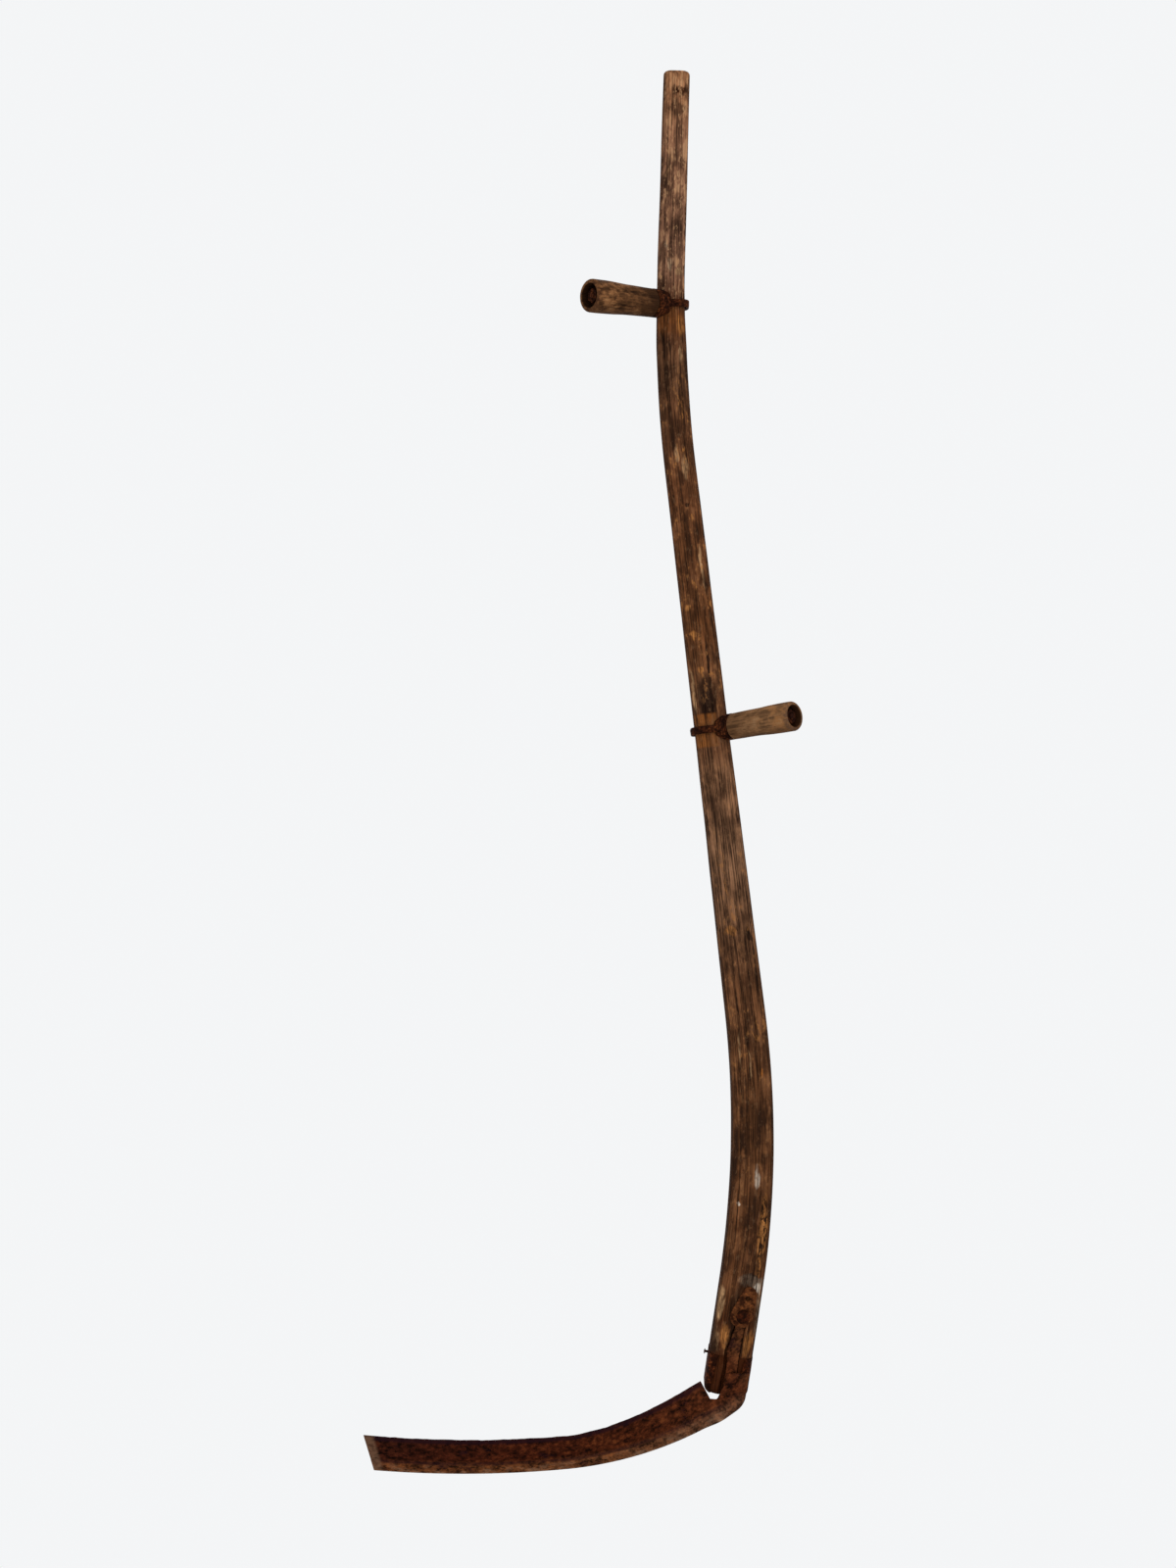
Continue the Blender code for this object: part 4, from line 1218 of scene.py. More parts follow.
@dataclass
class Snath:
    """Bent wooden shaft: its centreline, its squared section, its foot and its groove."""

    # straight runs from the top end down, their leans to the right and to the front in degrees,
    # and the radii of the bends between them
    runs: Tuple[float, ...] = (312.7 * MM, 831.0 * MM, 264.0 * MM)
    leans: Tuple[Tuple[float, float], ...] = ((-1.64, 0.0), (6.66, 3.12), (-8.15, -7.63))
    bends: Tuple[float, ...] = (1450 * MM, 900 * MM)
    # distance of each nib from the top end
    upper_nib: float = 247 * MM
    lower_nib: float = 700.5 * MM
    # distance from the top end, side of the squared section and radius of its corners
    sections: Tuple[Tuple[float, ...], ...] = (
        (0 * MM, 28.0 * MM, 8.0 * MM),
        (228 * MM, 29.4 * MM, 8.5 * MM),
        (262 * MM, 30.2 * MM, 8.5 * MM),
        (292 * MM, 32.0 * MM, 9.0 * MM),
        (702 * MM, 35.8 * MM, 10.0 * MM),
        (1000 * MM, 41.6 * MM, 10.5 * MM),
        (1190 * MM, 45.2 * MM, 11.0 * MM),
        (1330 * MM, 46.0 * MM, 11.0 * MM),
    )
    top_rounding: float = 5 * MM
    foot_rounding: float = 9 * MM
    ferrule_length: float = 44 * MM
    gap: float = 0.3 * MM
    paring: float = 1.2 * MM
    shoulder: float = 0.4 * MM
    bolt_from_end: float = 90 * MM
    bolt_across: float = 5.8 * MM
    bolt_radius: float = 4 * MM
    # turn of the tang from the snath and its play, in degrees
    tang_turn: float = 6.1
    swing: float = 3.0
    tang_thickness: float = 5 * MM
    eye_radius: float = 8 * MM
    groove_play: float = 0.8 * MM
    eye_turns: Tuple[int, ...] = tuple(range(-40, 221, 13))
    # the tang's two sides from its eye down, across it and along it from the bolt
    tang_left: Tuple[Tuple[float, float], ...] = (
        (-4.9 * MM, -15 * MM), (-6.8 * MM, -40 * MM), (-2.5 * MM, -59 * MM), (-0.9 * MM, -80 * MM),
    )
    tang_right: Tuple[Tuple[float, float], ...] = (
        (4.9 * MM, -15 * MM), (6.8 * MM, -44 * MM), (9 * MM, -60 * MM), (11 * MM, -80 * MM),
    )
    corner_steps: int = 7
    columns: int = 7
    ring_step: float = 2.6 * MM
    spine_step: float = 2 * MM
    top_turns: Tuple[int, ...] = (20, 40, 60, 75)
    foot_turns: Tuple[int, ...] = (15, 30, 45, 60, 75)
    # repeats per metre across and along, and depth, which for the dents is a share of their own
    swell: Tuple[float, float, float] = (70, 14, 0.35 * MM)
    ripple: Tuple[float, float, float] = (260, 22, 0.14 * MM)
    ragged: Tuple[float, float, float] = (300, 40, 0.8)
    planed: float = 0.12 * MM
    kept_on_foot: float = 0.2
    foot_iron: float = 60 * MM
    dents: Tuple[Dent, ...] = tuple(Dent(*(size * MM for size in row)) for row in DENT_ROWS)
    stretches: List[Stretch] = field(default_factory=list)
    length: float = 0.0

    def __post_init__(self) -> None:
        """Lay the centreline so that the upper nib's joint is on it."""
        self._lay(Vector((0, 0, 0)))
        self._lay(Vector(joint("upper_grip_turn")["pos_m"]) - self.at(self.upper_nib)[0])
        stations = spread(0.0, self.length, self.spine_step)
        self.spine = Spine(stations, [self.frame(distance) for distance in stations])

    def _lay(self, start: Vector) -> None:
        """Work out the straight and bent stretches.

        Args:
            start: the top end.
        """
        self.stretches = []
        directions = []
        for lean in self.leans:
            right, front = (math.tan(math.radians(angle)) for angle in lean)
            directions.append(Vector((right, -front, -1)).normalized())
        point, spent, distance = start, 0.0, 0.0
        for index, run in enumerate(self.runs):
            direction = directions[index]
            last = index == len(self.bends)
            turn = 0.0 if last else direction.angle(directions[index + 1])
            tangent = 0.0 if last else self.bends[index] * math.tan(turn / 2)
            length = run - spent - tangent
            self.stretches.append(Stretch(distance, point, direction))
            point = point + direction * length
            distance += length
            if not last:
                inward = (directions[index + 1] - direction * math.cos(turn)).normalized()
                bend = Stretch(distance, point, direction, inward, self.bends[index])
                self.stretches.append(bend)
                distance += bend.radius * turn
                point, _ = bend.at(distance)
            spent = tangent
        self.length = distance

    def at(self, distance: float) -> Tuple[Vector, Vector]:
        """Point of the centreline, so far down from the top end, and its downward direction."""
        passed = [stretch for stretch in self.stretches if stretch.start <= distance]
        return passed[-1].at(distance)

    def frame(self, distance: float) -> Matrix:
        """Axes there: X to the right, Y to the front, Z down the snath.

        Args:
            distance: how far down from the top end.

        Returns:
            The frame.
        """
        point, down = self.at(distance)
        front = Vector((0, -1, 0))
        front = (front - down * front.dot(down)).normalized()
        return axes(front.cross(down), front, down, point)

    def heel(self) -> Matrix:
        """Axes at the tang bolt: X right, Y up the snath, Z out of its front face.

        Returns:
            The frame.
        """
        distance = self.length - self.bolt_from_end
        local = self.frame(distance)
        side, _ = between(self.sections, distance)
        right, front, down = (local.col[index].to_3d() for index in range(3))
        return axes(right, -down, front, local @ Vector((self.bolt_across, side / 2, 0)))

    def tang(self) -> Matrix:
        """Axes at the tang bolt, with Y up the tang."""
        return self.heel() @ Matrix.Rotation(math.radians(-self.tang_turn), 4, "Z")

    @staticmethod
    def rounding(from_end: float, radius: float) -> float:
        """How far a rounded end draws the surface in.

        Args:
            from_end: distance from that end.
            radius: the rounding's radius.

        Returns:
            The draw in metres.
        """
        if from_end >= radius:
            return 0.0
        return radius - math.sqrt(max(0.0, radius ** 2 - (radius - from_end) ** 2))

    def outline(self, point: Vector, distance: float, offset: float = 0.0) -> Vector:
        """Place across the snath of a point of the square plan.

        Args:
            point: the plan's point, from -1 to 1.
            distance: how far down from the top end.
            offset: how far outside the wood.

        Returns:
            The place, straightened.
        """
        from_end = self.length - distance
        side, radius = between(self.sections, distance)
        rounded = self.rounding(distance, self.top_rounding) + self.rounding(from_end, self.foot_rounding)
        within = (self.ferrule_length + self.gap + self.shoulder - from_end) / self.shoulder
        pared = self.paring * min(1.0, max(0.0, within))
        half = side / 2 - rounded - pared + offset
        radius = radius - rounded / 2 - pared + offset
        return Vector((*on_plan(point, half, radius), distance))

    def worn(self, place: Vector) -> Vector:
        """Straightened place with the wear of the surface.

        Args:
            place: the unworn place.

        Returns:
            The worn place.
        """
        out = Vector((place.x, place.y, 0))
        if out.length < 1 * MM:
            return place
        swell, ripple, rough = (
            depth * noise.noise(Vector((place.x * across, place.y * across, place.z * along)))
            for across, along, depth in (self.swell, self.ripple, self.ragged)
        )
        sunk = sum(dent.sunk(place) for dent in self.dents)
        change = min(0.0, swell + ripple - self.planed) - sunk * (1.0 + rough)
        if self.length - place.z < self.ferrule_length + 2 * MM:
            change *= self.kept_on_foot
        return place + out.normalized() * change

    def bent(self, point: Vector, distance: float) -> Vector:
        """Worn place in the world of a point of the plan at a distance from the top end."""
        place = self.worn(self.outline(point, distance))
        return self.frame(distance) @ Vector((place.x, place.y, 0))

    def eye(self, radius: float) -> List[Tuple[float, float]]:
        """Points of the tang's round end, at a radius round the bolt."""
        turns = [math.radians(angle) for angle in self.eye_turns]
        return [(radius * math.cos(turn), radius * math.sin(turn)) for turn in turns]

    def groove(self) -> bpy.types.Mesh:
        """Groove for the tang, with room for its swing, as a cutter.

        Returns:
            The cutter, in place.
        """
        shift = math.tan(math.radians(self.swing))
        left = [(x - self.groove_play + y * shift, y) for x, y in self.tang_left]
        right = [(x + self.groove_play, y) for x, y in self.tang_right]
        foot = -self.bolt_from_end - self.ferrule_length
        points = self.eye(self.eye_radius + self.groove_play) + left
        points += [(left[-1][0], foot), (right[-1][0], foot)] + right[::-1]
        return to_mesh(slab(points, -(self.tang_thickness + 2 * self.gap), CLEAR), self.tang())

    def build(self) -> None:
        """Make the snath, worn, bent and grooved."""
        distances = spread(0.0, self.length, self.ring_step)
        distances += [self.top_rounding * (1 - math.cos(math.radians(turn))) for turn in self.top_turns]
        for turn in self.foot_turns:
            distances.append(self.length - self.foot_rounding * (1 - math.cos(math.radians(turn))))
        edge = self.length - self.ferrule_length - self.gap
        low, high = edge - 3 * self.shoulder, edge + self.shoulder
        distances = [item for item in distances if not low < item < high]
        distances += [edge, edge - self.shoulder]
        plan = rounded_plan(self.corner_steps, self.columns)
        mesh = to_mesh(sweep(plan, sorted(set(distances)), self.bent))
        mesh = combine(mesh, self.groove(), Work.CUT)
        side, _ = between(self.sections, self.length - self.bolt_from_end)
        hole = rod(self.bolt_radius + self.gap, -side - CLEAR, CLEAR)
        mesh = combine(mesh, to_mesh(hole, self.heel()), Work.CUT)
        finish = WeatheredWood(self.length, self.upper_nib, self.lower_nib, self.length - self.foot_iron)
        piece = Piece("weathered_snath", "root", Slot.SNATH, ("snath",), sharp=50)
        piece.show(mesh, finish.make(), self.spine.straight)


# ---------------------------------------------------------------- irons at the foot


@dataclass
class FootIrons:
    """Band, nails, plate and bolt at the foot of the snath."""

    snath: Snath
    band_iron: bpy.types.Material
    plate_iron: bpy.types.Material
    bolt_iron: bpy.types.Material
    wall: float = 1.1 * MM
    short_of_end: float = 2 * MM
    slot_play: float = 2.5 * MM
    ripple: float = 0.25 * MM
    torn: float = 0.9 * MM
    ring_step: float = 2.4 * MM
    rounded_end: float = 8 * MM
    nail_radius: float = 1.3 * MM
    nail_head: float = 1.3 * MM
    nail_point: float = 3 * MM
    dome: float = 0.75
    dome_turns: Tuple[int, ...] = (0, 15, 30, 45, 60, 75, 88)
    plate_rounding: float = 0.7 * MM
    washer_rounding: float = 0.35 * MM
    # x and y from the bolt and radius of the teardrop's two ends and of the spare hole
    plate_low: Tuple[float, float, float] = (-1.7 * MM, -0.5 * MM, 12 * MM)
    plate_high: Tuple[float, float, float] = (3.3 * MM, 24.8 * MM, 7.6 * MM)
    spare_hole: Tuple[float, float, float] = (2.2 * MM, 20.0 * MM, 2.7 * MM)

    @staticmethod
    def _show(name: str, node: str, mesh: bpy.types.Mesh, iron: bpy.types.Material) -> None:
        """Show an iron of the foot in its CAD node's place."""
        Piece(name, "root", Slot.FITTINGS, (node,)).show(mesh, iron)

    def band(self) -> None:
        """Make the sheet-iron band, open at the front where the tang passes."""
        snath = self.snath
        top = snath.length - snath.ferrule_length
        low = snath.length - self.short_of_end

        def place(point: Vector, distance: float) -> Vector:
            """Place on the inside of the band.

            Args:
                point: the plan's point.
                distance: how far down the snath.

            Returns:
                The place.
            """
            ripple = self.ripple * noise.noise(Vector((point.x * 2.2, point.y * 2.2, distance * 60)))
            flat = snath.outline(point, distance, snath.gap + max(0.0, ripple))
            uneven = self.torn * noise.noise(Vector((point.x * 1.4, point.y * 1.4, 3.0)))
            edge = uneven if distance == top else 0.0
            return snath.frame(distance) @ Vector((flat.x, flat.y, max(0.0, edge)))

        distances = spread(top, low - self.rounded_end, self.ring_step)
        distances += spread(low - self.rounded_end + 1 * MM, low, self.ring_step / 2)
        plan = rounded_plan(snath.corner_steps, snath.columns)
        bm = sweep(plan, distances, place, capped=False)
        tang = snath.tang()
        shift = math.tan(math.radians(snath.swing)) * (snath.bolt_from_end + snath.ferrule_length)
        left = min(x for x, _ in snath.tang_left) - snath.groove_play - self.slot_play - shift / 2
        right = max(x for x, _ in snath.tang_right) + self.slot_play
        inverse = tang.inverted()
        for side in (left, right):
            geom = list(bm.verts) + list(bm.edges) + list(bm.faces)
            cut, facing = tang @ Vector((side, 0, 0)), tang.col[0].to_3d()
            bmesh.ops.bisect_plane(bm, geom=geom, dist=0.01 * MM, plane_co=cut, plane_no=facing)
        middles = [(face, inverse @ face.calc_center_median()) for face in bm.faces]
        front = -snath.tang_thickness
        gone = [face for face, middle in middles if left < middle.x < right and middle.z > front]
        bmesh.ops.delete(bm, geom=gone, context="FACES")
        bmesh.ops.recalc_face_normals(bm, faces=bm.faces)
        thicken(bm, self.wall, snath.frame(top).translation)
        self._show("foot_band", "heel_ferrule", to_mesh(bm), self.band_iron)

    def nail(self, node: str) -> None:
        """Make a hand-made nail with a domed head, on the axis of its CAD node.

        Args:
            node: the CAD node.
        """
        points = [vertex.co for vertex in frame["nodes"][node].data.vertices]
        centre = sum(points, Vector()) / len(points)
        tip = max(points, key=lambda point: (point - centre).length)
        out = (centre - tip).normalized()
        aside = out.orthogonal().normalized()
        local = axes(aside, out.cross(aside), out, tip)
        _, top = measured(node, local)
        head, depth = top.x, top.z
        under, radius = depth - self.nail_head, self.nail_radius
        profile = (
            (0.0, depth), (head * 0.45, depth - 0.1 * MM), (head * 0.8, depth - 0.45 * MM),
            (head, depth - 0.9 * MM), (head, under), (radius, under), (radius, self.nail_point), (0.0, 0.0),
        )
        self._show(node + "_worn", node, to_mesh(turned(profile, steps=24), local), self.bolt_iron)

    def plate(self) -> None:
        """Make the teardrop plate with its bolt hole and its spare hole."""
        heel = self.snath.heel()
        low, high = measured("heel_plate", heel)
        bm = bmesh.new()
        for x, y, radius in (self.plate_low, self.plate_high):
            place = Matrix.Translation((x, y, low.z))
            bmesh.ops.create_circle(bm, cap_ends=False, segments=40, radius=radius, matrix=place)
        hull = bmesh.ops.convex_hull(bm, input=bm.verts)
        loose = [item for item in hull["geom_interior"] if isinstance(item, bmesh.types.BMVert)]
        bmesh.ops.delete(bm, geom=loose, context="VERTS")
        bmesh.ops.delete(bm, geom=[edge for edge in bm.edges if not edge.link_faces], context="EDGES")
        bmesh.ops.dissolve_limit(bm, angle_limit=0.01, verts=bm.verts, edges=bm.edges)
        lift(bm, high.z - low.z)
        soften(bm, self.plate_rounding, segments=3, limit=50)
        mesh = to_mesh(bm, heel)
        for x, y, radius in ((0.0, 0.0, self.snath.bolt_radius + self.snath.gap), self.spare_hole):
            hole = rod(radius, low.z - CLEAR, high.z + CLEAR)
            mesh = combine(mesh, to_mesh(hole, heel @ Matrix.Translation((x, y, 0))), Work.CUT)
        self._show("worn_heel_plate", "heel_plate", mesh, self.plate_iron)

    def bolt(self) -> None:
        """Make the domed tang bolt with its washer and square nut at the back."""
        heel = self.snath.heel()
        low, high = measured("tang_bolt", heel)
        head_low = measured("heel_plate", heel)[1].z + self.snath.gap
        head, rise, shank = high.x, high.z - head_low, self.snath.bolt_radius
        profile = []
        for turn in self.dome_turns:
            angle = math.radians(turn)
            height = head_low + rise * (1 - self.dome + self.dome * math.cos(angle))
            profile.append((head * math.sin(angle), height))
        profile += [(head, head_low), (shank, head_low), (shank, low.z + 1 * MM), (shank - 1 * MM, low.z)]
        profile.append((0.0, low.z))
        mesh = to_mesh(turned(profile, steps=48), heel)
        self._show("worn_tang_bolt", "tang_bolt", mesh, self.bolt_iron)

        bore = shank + self.snath.gap
        washer = flat_ring("tang_bolt_washer", heel, bore, self.washer_rounding)
        self._show("worn_back_washer", "tang_bolt_washer", washer, self.bolt_iron)
        nut = flat_nut("tang_bolt_nut", heel, bore, 4)
        self._show("worn_back_nut", "tang_bolt_nut", nut, self.bolt_iron)

    def build(self) -> None:
        """Make every iron at the foot."""
        self.band()
        self.nail("ferrule_nail_left")
        self.nail("ferrule_nail_right")
        self.plate()
        self.bolt()


# ---------------------------------------------------------------- blade


@dataclass
class Blade:
    """One forging: a short worn blade with its rib, its shank and its tang."""

    snath: Snath
    # where the back starts in the tang's frame, its heading in degrees, and the length and radius
    # of each of its runs, of which the first is straight
    start: Tuple[float, float] = (5.9 * MM, -113.6 * MM)
    heading: float = 222.0
    runs: Tuple[Tuple[float, float], ...] = ((25 * MM, 0.0), (150 * MM, 388 * MM), (201 * MM, 1150 * MM))
    # distance from the heel and width there
    widths: Tuple[Tuple[float, float], ...] = (
        (0 * MM, 47.5 * MM), (45 * MM, 44.8 * MM), (155 * MM, 36 * MM), (372 * MM, 37.5 * MM),
    )
    ring_step: float = 2.5 * MM
    toe_slant: float = 16.8 * MM
    rib_width: float = 12.5 * MM
    rib_front: float = 2.4 * MM
    rib_back: float = 1.7 * MM
    rib_shoulder: float = 2 * MM
    rib_edge: float = 0.8 * MM
    web: float = 1.8 * MM
    bevel: float = 5 * MM
    edge: float = 0.4 * MM
    plan_width: float = 45 * MM
    shank_low: float = 0.5 * MM
    shank_thickness: float = 4 * MM
    shank_rounding: float = 1.1 * MM
    tang_rounding: float = 0.6 * MM
    step_top: float = -64 * MM
    edge_wear: float = 0.7 * MM
    edge_nicks: float = 0.4 * MM
    sound_heel: float = 8 * MM
    heel_fade: float = 20 * MM
    wave: float = 0.22 * MM
    pit: float = 0.12 * MM
    # corners of the shank in the tang's frame, each with its rounding
    shank: Tuple[Tuple[float, float, float], ...] = (
        (-1.4 * MM, -63.4 * MM, 0.0),
        (21.6 * MM, -57.5 * MM, 1.5 * MM),
        (25.2 * MM, -92 * MM, 24 * MM),
        (6.3 * MM, -115.2 * MM, 60 * MM),
        (-17 * MM, -133 * MM, 0.0),
        (-26.5 * MM, -116 * MM, 0.0),
        (-11.4 * MM, -94.6 * MM, 1.5 * MM),
        (-4.2 * MM, -93.4 * MM, 2.5 * MM),
        (-0.9 * MM, -78 * MM, 8 * MM),
    )

    def back(self) -> Tuple[List[float], List[Matrix]]:
        """Frames along the back, X to the edge, Y to the front and Z to the toe.

        Returns:
            Their distances and the frames, in the tang's frame.
        """
        point = Vector((*self.start, self.shank_low + self.shank_thickness / 2))
        heading = math.radians(self.heading)
        distances, frames, distance = [], [], 0.0
        rows = [(0.0, 0.0)]
        for length, radius in self.runs:
            count = max(1, round(length / self.ring_step))
            rows += [(length / count, radius)] * count
        for step, radius in rows:
            turn = -step / radius if radius else 0.0
            chord = heading + turn / 2
            point = point + Vector((math.cos(chord), math.sin(chord), 0)) * step
            heading += turn
            distance += step
            along = Vector((math.cos(heading), math.sin(heading), 0))
            inward = Vector((along.y, -along.x, 0))
            distances.append(distance)
            frames.append(axes(inward, along.cross(inward), along, point))
        return distances, frames

    def section(self) -> List[Vector]:
        """Section of back rib, web and edge, at the plan's width.

        Returns:
            Points round it: distance from the back, height, 0.
        """
        web, edge, rib = self.web / 2, self.edge / 2, self.rib_width
        front, back, corner = self.rib_front, self.rib_back, self.rib_edge
        shoulder = rib - self.rib_shoulder
        inner, middle = self.plan_width - self.bevel, self.plan_width - self.bevel / 2
        hollow = [rib + (inner - rib) * share for share in (0.12, 0.3, 0.5, 0.7, 0.88)]
        points = [
            (0.0, front - corner), (0.25 * corner, front - 0.3 * corner), (corner, front),
            (rib * 0.35, front * 1.02), (rib * 0.6, front), (shoulder, front * 0.96),
            (rib - self.rib_shoulder * 0.45, (front + web) * 0.52), (rib, web),
        ]
        points += [(x, web) for x in hollow] + [(inner, web), (middle, (web + edge) * 0.56)]
        points += [(self.plan_width, edge), (self.plan_width, -edge)]
        points += [(middle, -(web + edge) * 0.56), (inner, -web)] + [(x, -web) for x in reversed(hollow)]
        points += [(rib, -web), (shoulder, -back), (rib * 0.5, -back), (corner, -back), (0.0, corner - back)]
        return [Vector((x, y, 0)) for x, y in points]

    def build(self) -> None:
        """Make the forging."""
        tang = self.snath.tang()
        distances, frames = self.back()
        stations = dict(zip(distances, frames))
        length = distances[-1]

        def place(point: Vector, distance: float) -> Vector:
            """Place of a point of the section at a station.

            Args:
                point: the section's point.
                distance: distance of the station from the heel.

            Returns:
                The place, in the tang's frame.
            """
            (width,) = between(self.widths, distance)
            worn = self.edge_wear * (0.4 + noise.noise(Vector((distance * 45, 0, 1))))
            worn += self.edge_nicks * noise.noise(Vector((distance * 170, 0, 5)))
            if point.x > self.rib_width:
                share = (point.x - self.rib_width) / (self.plan_width - self.rib_width)
                width -= max(0.0, worn) * min(1.0, max(0.0, (distance - self.sound_heel) / self.heel_fade))
                across = self.rib_width + (width - self.rib_width) * share
            else:
                share, across = 0.0, point.x
            wave = self.wave * noise.noise(Vector((across * 60, distance * 28, 7)))
            pit = self.pit * noise.noise(Vector((across * 330, distance * 330, point.y * 100)))
            slant = self.toe_slant * across / self.plan_width if distance == length else 0.0
            height = point.y + pit * (0.25 if share > 0.86 else 1.0) + wave * (1 if share else 0.4)
            return stations[distance] @ Vector((across, height, slant))

        forging = to_mesh(sweep(self.section(), distances, place), tang)
        for outline, low, high, soft in self._flats():
            bm = slab(outline, low, high)
            if soft:
                soften(bm, soft, segments=3, limit=45)
            forging = combine(forging, to_mesh(bm, tang), Work.JOIN)
        hole = rod(self.snath.bolt_radius + self.snath.gap, -self.snath.tang_thickness - CLEAR, CLEAR)
        forging = combine(forging, to_mesh(hole, tang), Work.CUT)

        spine = Spine(distances, [tang @ local for local in frames])

        def grain(point: Vector) -> Vector:
            """Place of a point of the forging in its grain.

            Args:
                point: the point in the world.

            Returns:
                Place from back to edge at the plan's width, height, and place from heel to toe.
            """
            straight = spine.straight(point)
            (width,) = between(self.widths, straight.z)
            return Vector((straight.x * self.plan_width / width, straight.y, straight.z))

        finish = RustedSteel(self.rib_width, self.plan_width, length)
        piece = Piece("rusted_blade", "blade", Slot.BLADE, ("blade",), sharp=38)
        piece.show(forging, finish.make(), grain)

    def _flats(self) -> List[Tuple[List[Tuple[float, float]], float, float, float]]:
        """Shank, tang and the step between them.

        Returns:
            The outline, the lower and upper face, and the softening of each.
        """
        snath = self.snath
        tang = snath.eye(snath.eye_radius) + list(snath.tang_left) + list(snath.tang_right)[::-1]
        low_left, low_right = snath.tang_left[-1], snath.tang_right[-1]
        step = [
            (low_left[0] + 1 * MM, self.step_top - 1 * MM), (low_left[0] + 1 * MM, low_left[1] + 1 * MM),
            (low_right[0] - 1 * MM, low_right[1] + 1 * MM), (low_right[0] - 2 * MM, self.step_top + 1 * MM),
        ]
        top = self.shank_low + self.shank_thickness
        return [
            (self._rounded(self.shank), self.shank_low, top, self.shank_rounding),
            (tang, -snath.gap - snath.tang_thickness, -snath.gap, self.tang_rounding),
            (step, -snath.gap - snath.tang_thickness / 2, self.shank_low + self.shank_thickness / 2, 0.0),
        ]

    @staticmethod
    def _rounded(corners: Sequence[Tuple[float, float, float]]) -> List[Tuple[float, float]]:
        """Closed outline whose corners are rounded by their own radii.

        Args:
            corners: x, y and radius of each.

        Returns:
            The points.
        """
        points: List[Tuple[float, float]] = []
        for index, (x, y, radius) in enumerate(corners):
            corner = Vector((x, y))
            if radius == 0.0:
                points.append((x, y))
                continue
            before = (Vector(corners[index - 1][:2]) - corner).normalized()
            after = (Vector(corners[(index + 1) % len(corners)][:2]) - corner).normalized()
            half = before.angle(after) / 2
            centre = corner + (before + after).normalized() * (radius / math.sin(half))
            first = corner + before * (radius / math.tan(half)) - centre
            last = corner + after * (radius / math.tan(half)) - centre
            turn = -first.angle_signed(last)
            for step in range(CORNER_STEPS + 1):
                spoke = first.copy()
                spoke.rotate(Matrix.Rotation(turn * step / CORNER_STEPS, 2))
                points.append(tuple(centre + spoke))
        return points


# ---------------------------------------------------------------- nibs


